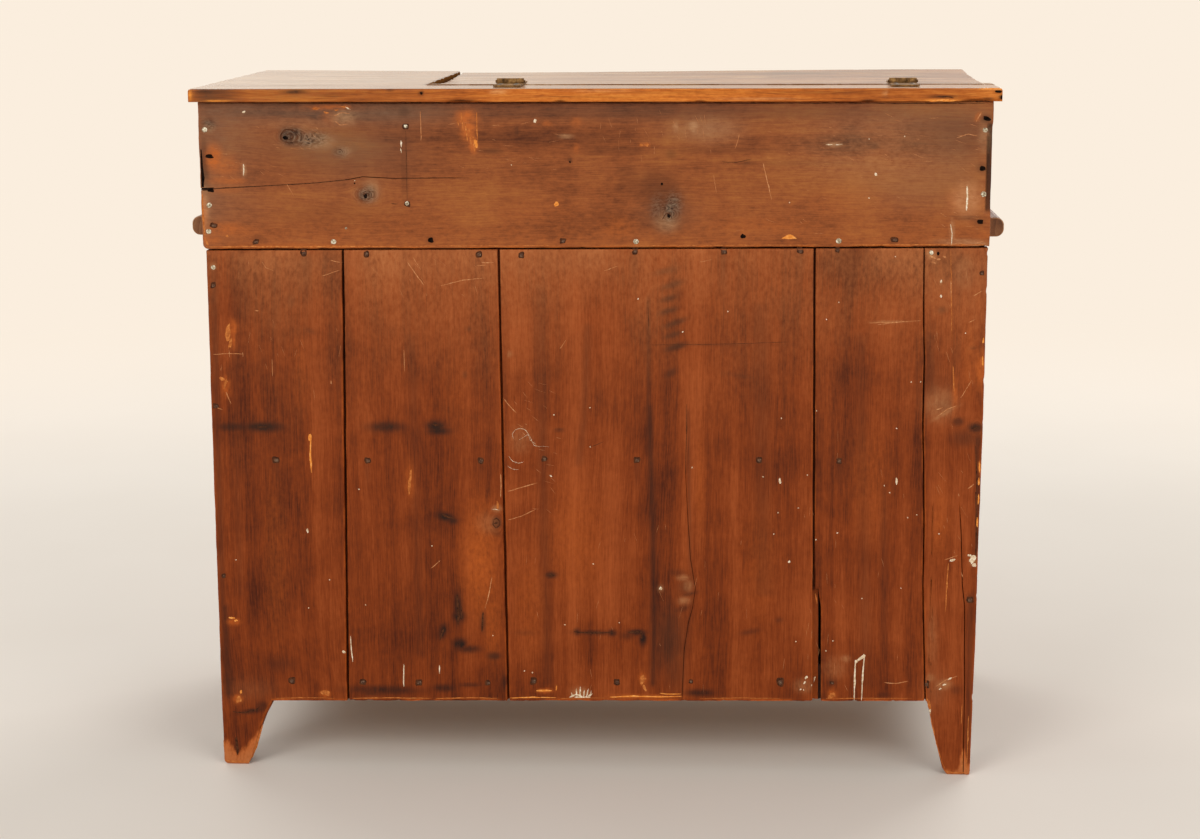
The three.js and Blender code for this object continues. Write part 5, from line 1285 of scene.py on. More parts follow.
bareBoards = pineMaterial("bare_pine", barePine)
finishOf = (
    # material, grain, pieces
    (redBoards, "z", ("side_board_right", "side_board_left", "front_stile_right", "front_stile_left", "centre_stile",
     "drawer_stile", "left_door_hinge_stile", "left_door_latch_stile", "right_door_hinge_stile",
     "right_door_latch_stile", "left_door_panel", "right_door_panel")),
    (redBoards, "x", ("middle_rail", "bottom_rail", "well_apron", "drawer_top_rail", "left_door_top_rail",
     "left_door_bottom_rail", "right_door_top_rail", "right_door_bottom_rail", "drawer_front")),
    (pineMaterial("rubbed_cleat_pine", cleatWash), "y", ("lift_cleat_right", "lift_cleat_left")),
    (bareBoards, "x", ("bottom_board", "middle_shelf", "well_floor", "drawer_back", "drawer_bottom")),
    (bareBoards, "y", ("well_divider", "drawer_left_side", "drawer_right_side", "drawer_guide_left",
     "drawer_guide_right")),
)
bpy.context.view_layer.update()
dressed = [(piece, material, grain) for material, grain, pieces in finishOf for piece in pieces]
for count, (piece, material, grain) in enumerate(dressed, roundedEdges["firstStep"]):
    bevelled(piece, material, grain, count)


# The noise of a mottled material: its detail and sharpness, the values between which it shows, how much duller its
# dark and how much shinier its light places are, and the strength and height of its relief.
mottling = {"detail": 5.0, "sharpness": 0.65, "low": 0.3, "high": 0.7, "duller": 0.15, "shinier": 0.1, "bump": 0.3,
            "lift": 0.3}


def mottledMaterial(name, look):
    # one substance with an uneven colour: noise picks the colour, and dulls it where it is dark
    material, tree, shader = blankMaterial(name)
    place = addNode(tree, "ShaderNodeTexCoord").outputs["Object"]
    uneven = noiseNode(tree, place, 1 / (look["size"] * mm), mottling["detail"], mottling["sharpness"])
    colour = addNode(tree, "ShaderNodeValToRGB", {0: uneven}, look["colours"]).outputs[0]
    dull = mapped(tree, uneven, mottling["low"], mottling["high"], look["roughness"] + mottling["duller"],
                  look["roughness"] - mottling["shinier"])
    wire(tree, shader, colour, dull, uneven, mottling["bump"], mottling["lift"])
    shader.inputs["Metallic"].default_value = look["metal"]
    shader.inputs["Specular IOR Level"].default_value = look["specular"]
    return material


# Each look is the size of its mottling in millimetres, how metallic and rough it is, and its colours.
looks = {
    # wrought iron gone brown: dull, hardly a metal any more
    "brown_hinge_iron": {"size": 6.0, "metal": 0.15, "roughness": 0.65, "specular": 0.12,
                         "colours": ((0.3, "#35240f"), (0.5, "#7a5730"), (0.68, "#a17a46"))},
    # a steel screw, grey under a little rust
    "dull_screw_steel": {"size": 3.0, "metal": 0.5, "roughness": 0.45, "specular": 0.4,
                         "colours": ((0.3, "#2e2822"), (0.5, "#5f574d"), (0.7, "#8a8378"))},
    # the wood round a cut nail, stained dark brown by its rust; the same dark brown also draws cracks and marks, and
    # lines of painted shade under the rail and along the split
    "rust_stain_and_painted_shade": {"size": 4.0, "metal": 0.0, "roughness": 0.7, "specular": 0.1,
                          "colours": ((0.35, "#2e160b"), (0.6, "#573019"))},
    # near black: painted shadow in the mouths of nail holes and gaps, and the dark cores of knots
    "painted_shadow_and_knot_black": {"size": 4.0, "metal": 0.0, "roughness": 0.85, "specular": 0.05,
                        "colours": ((0.35, "#050302"), (0.6, "#1c100a"))},
    # cut iron nails, sunk and rusted grey brown
    "cut_nail_iron": {"size": 2.5, "metal": 0.1, "roughness": 0.65, "specular": 0.15,
                      "colours": ((0.35, "#3a2216"), (0.5, "#5a3c2c"), (0.65, "#79604a"))},
    # newer round wire nails, pale steel with a touch of wash
    "wire_nail_steel": {"size": 2.0, "metal": 0.1, "roughness": 0.45, "specular": 0.4,
                        "colours": ((0.34, "#5f4c36"), (0.5, "#b0a082"), (0.62, "#f0e6cc"))},
    # drops of white house paint, dried matt, yellowed and a little dirty
    "dried_white_paint": {"size": 2.5, "metal": 0.0, "roughness": 0.6, "specular": 0.3,
                          "colours": ((0.32, "#a8805a"), (0.5, "#dcc4a0"), (0.66, "#f6ead6"))},
    # scratches through the wash, down to pale fibres of the pine
    "scratched_pine": {"size": 3.0, "metal": 0.0, "roughness": 0.7, "specular": 0.1,
                       "colours": ((0.3, "#96552f"), (0.5, "#b87748"), (0.7, "#d39a6a"))},
    # wood rubbed through the wash: duller orange than a fresh chip
    "rubbed_orange_pine": {"size": 3.5, "metal": 0.0, "roughness": 0.65, "specular": 0.1,
                           "colours": ((0.3, "#8e4a1f"), (0.5, "#b5652c"), (0.7, "#cf8443"))},
    # chips down to fresh, bright orange wood
    "chipped_orange_pine": {"size": 4.0, "metal": 0.0, "roughness": 0.65, "specular": 0.1,
                            "colours": ((0.3, "#c8702a"), (0.5, "#e08a3a"), (0.7, "#f0a95e"))},
}
coatOf = {name: mottledMaterial(name, look) for name, look in looks.items()}
for piece, node in frame["nodes"].items():
    if "leaf" in piece or piece == "turn_button_screw":
        node.material_slots[0].material = coatOf["brown_hinge_iron" if "leaf" in piece else "dull_screw_steel"]

maple = {
    # turned maple, stained dark and polished by hands
    "dark": "#241009", "middle": "#4a2312", "light": "#6e3a1f", "stain": "#180c07", "worn": "#8a5430",
    "pale": "#8a5430", "knot": "#2a160c", "veil": "#4a2f20", "bands": 0.3, "streaks": 0.4, "fibres": 0.3,
    "blotches": 0.4, "specks": 0.1, "roughness": 0.38, "bump": 0.15, "specular": 0.45,
}
mapleShift = (0.1, 0, 0)  # in metres, past the middle of the figure's rings
for piece, grain in (("left_door_knob", "y"), ("right_door_knob", "y"), ("drawer_knob", "y"), ("turn_button", "z")):
    frame["nodes"][piece].material_slots[0].material = pineMaterial("dark_maple_" + piece, maple, grain, mapleShift)
print("finishes given")

# Small things on the back: nails, holes, paint and scratches. Every place is in pixels of the photograph. A spot
# is x, y, half width, half height and, if it leans, its angle in degrees.
# Near-black spots: painted shadow in nail holes, and the dark cores of knots on the level board and the rail.
nailHoles = (
    (209.5, 156.4, 3.7, 1.8, 3), (430.5, 240.2, 2.8, 2.6), (743.3, 236.3, 2.6, 2.2), (986.4, 118.6, 3.8, 2.0, 20),
    (982.5, 168.6, 2.8, 2.6), (980.4, 221.8, 3.0, 2.0), (211, 190.4, 3.2, 2.0, 20), (570, 162, 1.0, 1.2),
    (354.6, 183.4, 0.9, 0.8), (998.6, 91.6, 3.6, 1.4, 8), (1002.2, 97, 1.7, 2.7, 14), (421, 93, 1.3, 1.6),
    (938.2, 253.8, 1.6, 1.6), (285.4, 138, 2.4, 2.0, 12), (365.4, 196.4, 1.8, 2.0), (668.6, 215.8, 1.5, 2.0),
    (662, 184, 1.0, 1.4),
)
nailRecesses = (
    (213.4, 225.3, 3.6, 2.4, 4), (256, 242, 3.2, 2.5), (563, 241, 3.0, 2.7), (894.6, 239.6, 4.2, 2.8),
    (303.6, 253.2, 3.4, 3.4), (366.4, 253.9, 2.6, 3.4), (478.8, 254.4, 2.8, 3.2), (520.9, 255, 2.7, 3.2),
    (635, 251.2, 2.8, 3.4), (723.6, 251.4, 3.0, 3.6), (800, 250.9, 3.2, 3.2), (837.4, 249.8, 2.4, 3.0),
    (213.2, 285.3, 2.8, 2.8), (216, 406, 3.2, 2.8), (276, 460, 3.5, 3.4), (367.5, 460.6, 3.3, 3.3),
    (480.5, 460.6, 3.3, 3.3), (544, 459, 3.0, 3.0), (637, 460, 3.1, 3.1), (759, 460, 3.1, 3.2),
    (838.9, 460.9, 3.1, 3.1), (291.7, 681, 3.2, 3.2), (362.6, 682, 3.8, 3.0), (419, 682.5, 3.2, 3.2),
    (488, 683, 2.8, 2.8), (533.5, 681, 3.4, 3.4), (616.8, 682.2, 3.2, 3.2), (690.9, 681.5, 2.0, 2.0),
    (780.3, 682.2, 3.4, 4.0), (831.8, 683, 2.0, 1.7), (925.6, 684, 3.8, 3.6), (969.7, 600, 3.4, 3.4),
    (981.7, 273, 2.2, 2.4), (223.7, 575.8, 2.4, 2.4), (405.6, 126.6, 3.0, 3.0), (407.2, 203.8, 3.1, 3.1),
)
# A sunk head's width and height as shares of its recess, and its shift right and down in pixels.
headShare = (0.55, 0.5, 0.3, 0.4)
wireNails = (
    (204.6, 129.6, 2.7, 2.6), (209.2, 205.2, 2.6, 2.6), (208.7, 231.5, 2.6, 2.4), (333.5, 241.8, 2.7, 2.5),
    (636, 241.6, 2.7, 2.6), (838.7, 241, 2.9, 2.6), (985.4, 130, 2.6, 2.4), (983.6, 194.2, 2.7, 2.8),
    (213.2, 267.4, 2.2, 2.2), (931.3, 252.6, 2.2, 2.2), (405.5, 126.2, 1.9, 1.9), (407, 203.4, 2.0, 2.0),
    (346, 228.2, 1.1, 1.1),
)
paintSpecks = (
    (535, 120.8, 1.3, 1.9, 20), (876, 174.4, 1.1, 1.6, -10), (244, 111.8, 1.8, 0.8, -20),
    (347.6, 108.2, 2.6, 0.6, 28), (307.3, 530.5, 1, 2.6), (343.7, 651.6, 1.6, 1.2, 30), (780, 480.5, 1, 3),
    (789.4, 561.9, 1.1, 1.3), (660.6, 588.6, 1.4, 1.5), (590, 447, 0.8, 0.4, 40), (550.6, 476, 1.4, 0.6, 35),
    (896.6, 480.8, 1, 3), (941.4, 281.7, 1.1, 1.4), (940.9, 296.5, 1, 1.4), (972.4, 559.6, 3.2, 3.6),
    (974.2, 565.4, 1.8, 1.5), (969.6, 555.4, 1.4, 1.1), (953, 560, 3, 1.3, -24), (944.7, 685, 2.2, 0.9, -30),
    (950, 679, 2.4, 0.8, -25), (940, 689, 1.5, 0.7, -30), (929.9, 711, 0.9, 2.4), (860.6, 658.6, 3.6, 1.4, -28),
    (864, 656.4, 1.3, 1.9), (856.4, 661.6, 1.4, 1.6), (806.6, 677.4, 1.9, 1, -45), (804.6, 682.4, 2, 0.7, -50),
    (800.6, 689.4, 1.3, 0.6, -40), (814.2, 679.6, 1, 2.6, 28), (811.6, 685.4, 0.5, 0.8, 20),
)
# Fine specks, alike but for their places.
fineSpecks = (
    (869, 139), (904.6, 136.4), (869, 198), (789.6, 202.6), (511.4, 165), (354.6, 180.6), (235.9, 560), (329.6, 580),
    (308.5, 608), (359, 489.5), (432, 546), (365.4, 605), (493, 635.8), (638, 299), (682.6, 332), (728, 311.6),
    (781.3, 418.4), (692, 467.6), (763, 477), (807.4, 475), (816.6, 411), (553.8, 415), (590, 407.7), (778, 512.7),
    (798.4, 508), (773.8, 534), (593.3, 564), (619.4, 622.8), (564.9, 625), (524.5, 671), (532.4, 672.6),
    (795.9, 641.6), (838.9, 302.4), (826.5, 319.6), (895.4, 256.7), (896.6, 428.5), (884.2, 485.5), (889.8, 492.7),
    (911.3, 382), (920.8, 382), (907.7, 518), (916.9, 515), (837.4, 533), (816, 540), (901, 588.4), (862, 598.6),
    (965.6, 333), (939, 534), (803.6, 690), (833, 641), (826, 651),
)
fineSpeck = 0.62
# Hair scratches too many to place one by one: x and y from, x and y to, how many, and their lean in degrees.
hairFields = (
    (600, 112, 720, 160, 24, 80), (740, 115, 975, 235, 46, 12), (210, 108, 320, 180, 22, 20),
    (440, 120, 560, 170, 16, 5), (950, 130, 985, 235, 16, 15), (800, 420, 905, 690, 26, 80),
    (515, 380, 560, 520, 24, 30), (930, 260, 975, 640, 26, 70), (360, 255, 480, 300, 14, 60),
    (520, 520, 790, 690, 26, 85), (220, 255, 340, 420, 16, 85),
)
hair = {"seed": 17, "short": 3.0, "long": 13.0, "thin": 0.12, "wide": 0.24, "scatter": 22.0}
orangeChips = (
    (556.6, 204.2, 3.2, 1.7, -38), (310.2, 438, 1.4, 4.4), (545, 690.8, 7.0, 0.9), (556.4, 688, 0.7, 2.4, 14),
    (241, 692, 1.0, 1.8), (476, 143, 2.0, 4.2, 6), (979.4, 467, 1.0, 4.6), (978.6, 482, 0.9, 3.4),
    (978.6, 500, 0.8, 4.0), (977.4, 523, 0.8, 5.2), (982.6, 362, 0.8, 5.0), (983.4, 341, 0.8, 3.0),
    (232, 618, 3.0, 1.0, 12), (235.6, 620.6, 1.8, 1.2),
)
rubbedChips = (
    (228.2, 332, 2.6, 7.4, 6), (230, 344, 1.4, 5.0, 8), (225.4, 383, 1.6, 5.6, 20), (221.6, 378.6, 2.8, 1.4, 20),
    (642.4, 679, 3.2, 4.4), (644.4, 688, 1.4, 3.4, -30), (239, 700, 3.0, 3.4), (325, 693.6, 4.6, 2.8),
    (326, 112.4, 2.8, 1.0, 10), (315, 108.6, 4.6, 1.0), (336, 110.2, 2.4, 0.8), (345, 106.8, 4.4, 0.8, 8),
    (647, 145.2, 2.0, 1.2), (641, 145, 1.6, 1.0), (928.4, 704, 1.6, 5.0, -12), (832.6, 695.4, 2.4, 2.6),
    (829.4, 697, 1.4, 1.6), (410.6, 474, 1.2, 6.0), (409.4, 484, 1.6, 8.0), (497.6, 506, 1.2, 4.0),
    (227, 236, 1.4, 1.0),
)
halfMoon = ((781.6, 238.5), (784, 236.9), (787.5, 234.9), (790.5, 234.5), (793, 235.5), (796.8, 238.6), (789, 239.2))
edgeGaps = (
    # dark gaps and torn edges as near-black outlines: painted shade in the open end of the split, and the dark strip
    # beside it
    ((201.4, 188.1), (206, 187.8), (213.5, 187.5), (214, 188.8), (208, 190.2), (201.6, 189.9)),
    ((200.4, 149), (201.6, 150), (202.6, 162), (203.4, 170), (204.6, 178), (203.8, 187.2), (201.4, 187.4),
     (200.8, 168)),
)
# The hinges on the top in millimetres: their middles, their axis and the top of their leaves; and their screws, beside
# the middle and out from the axis, with the size of a head.
hinge = {"middles": (-352.0, 97.4), "axis": 154.5, "top": 807.0, "beside": (-9, 9), "out": (16, 36), "radius": 2.7,
         "height": 0.7}
# Strokes are a path in pixels and a half width in pixels.
paintStrokes = (
    (((513.6, 439), (512.2, 434), (515, 430), (520, 428.2), (525, 429.6), (528, 434), (530.6, 441),
     (536, 444)), 0.26), (((508.6, 456), (512.4, 461), (518, 463.4), (523.4, 462)), 0.28),
    (((507.6, 466), (513, 469.4), (519, 469.8)), 0.22), (((519, 440), (529, 434), (534, 446), (549, 447)), 0.2),
    (((950.6, 224), (952.2, 233), (951.6, 245)), 0.5), (((492.2, 509.4), (496, 509.2), (499.6, 510.4)), 0.36),
    (((350.5, 636), (351, 646), (352.6, 662)), 0.65), (((403.9, 664), (403.7, 676), (403.6, 687)), 0.7),
    (((439.5, 665), (439.6, 674)), 0.65), (((855.6, 660), (854.8, 676), (854, 701)), 0.95),
    (((864.6, 655), (862.6, 676), (861.4, 701)), 0.85), (((855.8, 662), (860, 658.4), (864.4, 654.6)), 1.2),
    (((967.2, 186), (967.5, 198), (966.4, 211)), 1.0), (((243.4, 164), (243.9, 170), (243.4, 176)), 0.7),
    (((401, 140.5), (401.4, 147)), 0.8), (((826, 144.6), (833, 144.4)), 0.5), (((835, 144.8), (843, 144.2)), 0.4),
    (((400.6, 148), (401.4, 153)), 0.5), (((569.6, 697.4), (576, 694.4), (583, 697)), 1.0),
    (((572.6, 697), (571.4, 692.4)), 0.6), (((576.6, 696), (576.4, 688.4)), 0.7),
    (((580, 697), (580.4, 686.8)), 0.8), (((583.6, 697), (584.4, 690)), 0.7), (((586.6, 697), (588.4, 688.6)), 0.6),
    (((588, 696.6), (592.4, 693.6)), 0.9), (((574.6, 697.2), (590.6, 697.4)), 0.9),
    (((590, 697), (591.4, 690.4)), 0.5),
)
brightStrokes = (
    (((310.6, 440), (310.2, 456), (311.4, 473)), 1.3), (((610, 697.2), (632, 696.4), (656, 697), (682, 696.6)), 1.2),
    (((510, 698), (532, 697.4), (556, 698)), 0.9), (((660, 693.4), (670, 694.4), (681, 694)), 0.8),
    (((984, 88.9), (994, 88.8), (1003, 89.2)), 1.0), (((929, 100.8), (940, 100.2), (956, 100.6)), 1.1),
)
rubbedStrokes = (
    (((929.4, 708), (932, 724), (937, 746), (942.6, 764), (945, 769)), 0.6),
    (((945, 771), (954, 773), (965, 772.6)), 0.8), (((962.4, 750), (962.2, 770)), 0.6),
    (((262.6, 725), (258.8, 738), (254.6, 751), (252, 758)), 0.9), (((226.4, 760.4), (236, 761.4), (249, 761)), 0.7),
    (((223.4, 740), (224.4, 752)), 0.7), (((457, 118), (459, 126)), 0.7), (((461, 112), (463.4, 131)), 0.8),
    (((465, 122), (467.6, 141)), 1.0), (((469, 128), (471.6, 147)), 1.1), (((473, 136), (475, 152)), 1.3),
    (((476.6, 112), (477.2, 140)), 0.8),
    (((206, 246.8), (250, 246.6), (300, 246.6), (350, 246.4), (400, 246.3)), 1.1),
    (((404, 246.3), (470, 246), (560, 245.7)), 0.6), (((600, 245.6), (700, 245.4), (820, 245)), 0.5),
    (((850, 245), (920, 244.8), (984, 244.6)), 0.7), (((202.2, 194), (203.2, 216), (205, 240)), 1.1),
    (((205.4, 240), (209, 246.4)), 1.3), (((276, 698.4), (306, 698), (336, 698.4)), 0.5),
    (((352, 698.4), (390, 698), (432, 698.4)), 0.8), (((436, 698.4), (470, 698), (498, 698.4)), 0.8),
    (((560, 698.4), (584, 698.2), (606, 698.4)), 0.5), (((700, 698.6), (740, 698.2), (780, 698.6)), 0.5),
    (((826, 698.6), (870, 698.4), (912, 698.6)), 0.5), (((968.6, 716), (967.4, 750), (966.4, 772)), 0.7),
    (((962.2, 704), (961.4, 724)), 0.6), (((951, 250), (951.3, 290), (952, 340)), 0.4),
    (((953.2, 366), (954, 392)), 0.7), (((948.6, 563), (947, 584), (945.5, 612)), 0.9),
    (((815.4, 593.6), (816.2, 598), (817.2, 604)), 0.6),
)
darkStrokes = (
    (((457, 594), (457.6, 604), (458.6, 612), (458, 625)), 1.9), (((461.6, 606), (461.6, 620)), 0.8),
    (((483, 612), (482.6, 622), (482, 632)), 1.4), (((444, 628.6), (441.6, 634), (440.4, 640)), 1.4),
    (((442, 514.6), (448, 517), (454, 518.4)), 1.6), (((574, 631.8), (590, 633.2), (615, 632.8)), 1.2),
    (((628, 632.6), (641, 632), (642, 640)), 1.3), (((549, 574.8), (555, 575.4)), 1.5),
    (((972, 428.6), (979.6, 427)), 1.6), (((256, 427.2), (268, 427)), 1.0), (((433, 424.6), (439, 425.4)), 1.4),
    (((236, 737), (237.6, 748), (237.8, 755)), 2.2),
    (((281.2, 140), (280.8, 134.6), (284, 130), (290, 129.2), (296, 131.6)), 0.9),
    (((284.6, 140.6), (288, 142.8), (294, 142)), 0.7),
    (((286, 135.4), (290, 132.8), (294.4, 134.6), (292, 138.8), (288, 139.2)), 0.7),
    (((297, 133), (301, 136), (300, 141)), 0.5), (((338, 150), (341.4, 149), (343, 152)), 0.5),
    (((363, 193), (366, 190.8), (371, 192), (372, 197), (367, 200.4)), 0.45),
    (((405.8, 130), (406.4, 164), (407.1, 200)), 0.4), (((396, 178.5), (430, 177.8), (470, 178.2)), 0.4),
    (((493, 520.4), (496.4, 518), (499.8, 521), (499.4, 526), (495.8, 528), (492.6, 524.6), (493, 520.4)), 0.9),
    (((494, 524), (497.6, 522.6)), 1.1), (((686.6, 404), (686.2, 443), (685.5, 475)), 0.45),
    (((722, 161.8), (736, 162.4), (751, 159.4)), 0.5), (((391, 203.6), (398, 203.8)), 0.5),
    (((662, 220), (665.6, 214), (670, 213), (672, 219)), 0.6), (((940, 97.6), (946, 96.4), (954, 98)), 1.0),
    (((976, 102), (984, 101), (992, 101.8)), 0.7), (((592, 446.6), (604, 441.6)), 0.4),
    (((648, 300), (648.6, 330)), 0.4), (((650, 344.9), (700, 344.9), (790, 342)), 0.35),
    (((232.6, 711.6), (244, 713), (256, 710), (262, 705)), 1.0),
    (((975.8, 446), (976.6, 474), (975.8, 500), (976.2, 530), (975.6, 560)), 1.0),
    # painted shade along the open split at the level board's left end
    (((198, 189.4), (230, 187.6), (264, 186), (290, 184.5), (315, 183), (346, 179.8)), 0.75),
    # a painted shadow just under the rail, across the level board
    (((204, 103.4), (330, 103.3), (460, 103.4), (596, 103.2)), 0.75),
    (((560, 103.2), (700, 103.2), (830, 103.3)), 0.7), (((800, 103.2), (900, 103.3), (985, 103.4)), 0.7),
)
scratches = (
    (((420.2, 111), (420.9, 126), (421, 141)), 0.6), (((763.2, 163), (767, 180), (771.6, 200)), 0.6),
    (((713.6, 175), (715, 184), (716.6, 193)), 0.5), (((739.4, 134), (737.6, 142), (735, 149)), 0.5),
    (((981.6, 112), (979.2, 116), (976.2, 122)), 0.8), (((213, 354.4), (228, 353.6), (244, 354.2)), 0.5),
    (((229, 349.6), (229.6, 357.6)), 0.4), (((242.6, 352), (243, 356.6)), 0.4),
    (((868.7, 323), (880, 322.4), (894, 322.6), (907, 321.6)), 0.55),
    (((878, 324.6), (900, 322), (923, 320.8)), 0.45), (((938, 416), (948, 409), (957, 405.8)), 0.6),
    (((929.6, 255.6), (933, 257), (936.4, 258.6)), 1.2), (((937, 259.8), (941, 258.6)), 1.2),
    (((943, 256.4), (946.4, 257)), 1.0), (((931.6, 262), (936.4, 263)), 0.9),
    (((254.8, 310.8), (258.4, 310.6)), 0.8), (((331, 380.4), (331.2, 384)), 0.6),
    (((406.8, 261), (415, 273), (423.7, 285.3)), 0.7), (((413, 257), (421, 270)), 0.45),
    (((481.6, 262.5), (494, 262.7)), 0.6), (((477, 265.5), (488, 265)), 0.5),
    (((500.6, 474), (501, 486), (500.4, 498)), 0.7), (((492, 577), (489, 593.7), (484.7, 609.5)), 0.6),
    (((431, 568.4), (440.5, 560.4)), 0.5), (((503.5, 398), (509.6, 406), (516.4, 413)), 0.6),
    (((507.8, 491.4), (523, 487), (537.7, 482.8)), 0.7), (((508, 520), (521, 516.4), (535.6, 509.4)), 0.5),
    (((884.6, 682.6), (896, 683.6), (907.7, 681.4)), 0.7), (((973.8, 296), (978, 293.2), (982.4, 290.8)), 0.6),
    (((968.7, 322.7), (975.5, 319.2)), 0.6), (((968, 489), (974.4, 483.6)), 0.7), (((951, 281), (951.4, 297)), 0.7),
    (((330, 260), (344, 263)), 0.5), (((322, 276), (340, 270)), 0.45), (((226, 392), (231, 404)), 0.6),
    (((215, 405), (218, 408), (223, 409.6)), 0.6), (((441, 285.6), (462, 280.4), (486, 278)), 0.5),
    (((404, 350), (404.6, 372)), 0.5), (((272, 359), (272.4, 376)), 0.45),
    (((262, 262), (266, 268), (274, 271)), 0.4), (((604, 271), (618, 266)), 0.45), (((700, 262), (712, 259.6)), 0.4),
    (((961, 398), (972, 380)), 0.5), (((936, 410), (943, 407.4)), 0.6), (((944.6, 560), (958, 555.6)), 0.5),
    (((286.6, 183.6), (291, 191), (293.6, 196)), 0.4), (((936, 686.6), (946, 680), (957, 676.4)), 0.6),
    (((335, 121), (340, 125), (347.6, 124.4)), 0.5), (((334, 116), (341, 112.6), (350, 113.6)), 0.5),
    (((957, 137.6), (968, 134), (978, 136)), 0.45), (((949, 245.6), (958, 243), (970, 245)), 0.5),
    (((976, 243), (984, 241)), 0.5), (((560, 349), (566, 340)), 0.4),
)

railRows = 102  # pixels above this row are on the rail
margins = {"rail": 1.0, "level": 1.0, "upright": 0.6}  # how far small things keep from the side of their board


def faceOf(px, py):
    # which face of the back a pixel is on, and the flat that its pixels are read on
    x, z = onBack((px, py))
    if py < railRows:
        return "rail", boxOf["hinge_rail"][1][1]
    if z > levelSeam(x):
        return "level", backFace
    return 1 + sum(bool(line(z) > x) for line in seamLines), backFace


def kept(face, x, z):
    # a small thing's places, kept inside the sides of its board
    if face in ("rail", "level"):
        end = boxOf["hinge_rail" if face == "rail" else "upper_back_board"][1][0] - margins[face]
        return np.clip(x, -end, end), z
    low, high = sidesOf(face, z)
    return np.clip(x, low + margins["upright"], high - margins["upright"]), z


def seat(face, x, z):
    # how far out the worn surface of that face is, its rounded edges too
    if face == "rail":
        return boxOf["hinge_rail"][1][1] - railFace(x, z, topHeight - z)
    if face == "level":
        return backFace - levelRelief(x, z)
    low, high = sidesOf(face, z)
    side = back["lapGap"] / 2
    nearest = np.minimum.reduce([x - low - side * (face < 5), high - x - side * (face > 1),
                                 levelSeam(x) - back["seamGap"] - z])
    return backFace - uprightRelief(face, x, z) - rounded(nearest, back["arris"])


# An oval's corners and how its unevenness winds round it, and the seeds of the unevenness.
oval = {"corners": 14, "wind": 1.3, "firstSeed": 160, "seeds": 40}


def outlineOf(spot, square, ragged, seed):
    # an oval in pixels, squared towards a square as its power grows, with an uneven edge
    px, py, wide, high, *lean = spot
    angle = np.linspace(0, 2 * np.pi, oval["corners"], endpoint=False)
    radius = (np.abs(np.cos(angle)) ** square + np.abs(np.sin(angle)) ** square) ** (-1 / square)
    uneven = rough(np.cos(angle) * oval["wind"] + px, np.sin(angle) * oval["wind"] + py, seed, 2)
    radius = radius * (1 + ragged * uneven)
    right, down = radius * np.cos(angle) * wide, radius * np.sin(angle) * high
    turn = math.radians(lean[0] if lean else 0)
    return np.stack([px + right * math.cos(turn) - down * math.sin(turn),
                     py + right * math.sin(turn) + down * math.cos(turn)], -1)


def joined(name, parts, look, slot, body="case"):
    # parts, each its points and faces, as one piece that stays within the depth of the cabinet
    points, faces, count = [], [], 0
    for partPoints, partFaces in parts:
        points.append(partPoints)
        faces += [tuple(index + count for index in face) for face in partFaces]
        count += len(partPoints)
    points = np.concatenate(points)
    points[:, 1] = np.minimum(points[:, 1], boxOf["hinge_rail"][1][1])
    makeMesh(name, points, faces, coatOf[look], body, slot=slot)


def domeFaces(count):
    # three rings of corners, the lowest first, then the middles of the underside and of the top
    faces, last = [], 3 * count
    for k in range(count):
        n = (k + 1) % count
        faces += [(r * count + k, r * count + n, r * count + count + n, r * count + count + k) for r in (0, 1)]
        faces += [(last, n, k), (last + 1, 2 * count + k, 2 * count + n)]
    return faces


# A screw's rings of corners: share of the radius, and height below its seat or as a share of its own height.
screw = {"corners": 16, "sunk": 0.5, "edge": 0.5, "shoulder": (0.6, 0.9)}
# A dome's foot is sunk below the face; its edge and its shoulder are at shares of its height.
dome = {"sunk": 0.8, "edge": 0.35, "shoulder": 0.85}
# A stroke has a point every step, in millimetres, and at least the fewest; at its ends it is a share as wide. Its
# width is uneven over a length, and its sides are sunk.
ridge = {"step": 2.5, "fewest": 4, "end": 0.25, "uneven": 0.35, "long": 5, "sunk": 0.06}


def screwHead(x, y, z, radius, height):
    # a low round head that looks up
    angle = np.linspace(0, 2 * np.pi, screw["corners"], endpoint=False)
    share, lift = screw["shoulder"]
    rings = [np.stack([x + radius * part * np.cos(angle), y + radius * part * np.sin(angle),
                       np.full_like(angle, z + up)], -1)
             for part, up in ((1, -screw["sunk"]), (1, screw["edge"] * height), (share, lift * height))]
    return np.concatenate(rings + [[[x, y, z - screw["sunk"]], [x, y, z + height]]]), domeFaces(len(angle))


def button(outline, height, rim):
    # A low closed dome on an outline: a sunk foot, an edge, and a shoulder at a share of the width.
    face, plane = faceOf(*outline.mean(0))
    x, z = kept(face, *onBack(outline, plane))
    if np.sum(x * np.roll(z, -1) - np.roll(x, -1) * z) > 0:
        x, z = x[::-1], z[::-1]
    count, middleX, middleZ = len(x), x.mean(), z.mean()
    rings = []
    for share, lift in ((1, -dome["sunk"]), (1, dome["edge"] * height), (rim, dome["shoulder"] * height)):
        ringX, ringZ = middleX + (x - middleX) * share, middleZ + (z - middleZ) * share
        rings.append(np.stack([ringX, seat(face, ringX, ringZ) + lift, ringZ], -1))
    level = float(seat(face, np.array([middleX]), np.array([middleZ]))[0])
    ends = [[middleX, level - dome["sunk"], middleZ], [middleX, level + height, middleZ]]
    return np.concatenate(rings + [ends]), domeFaces(count)


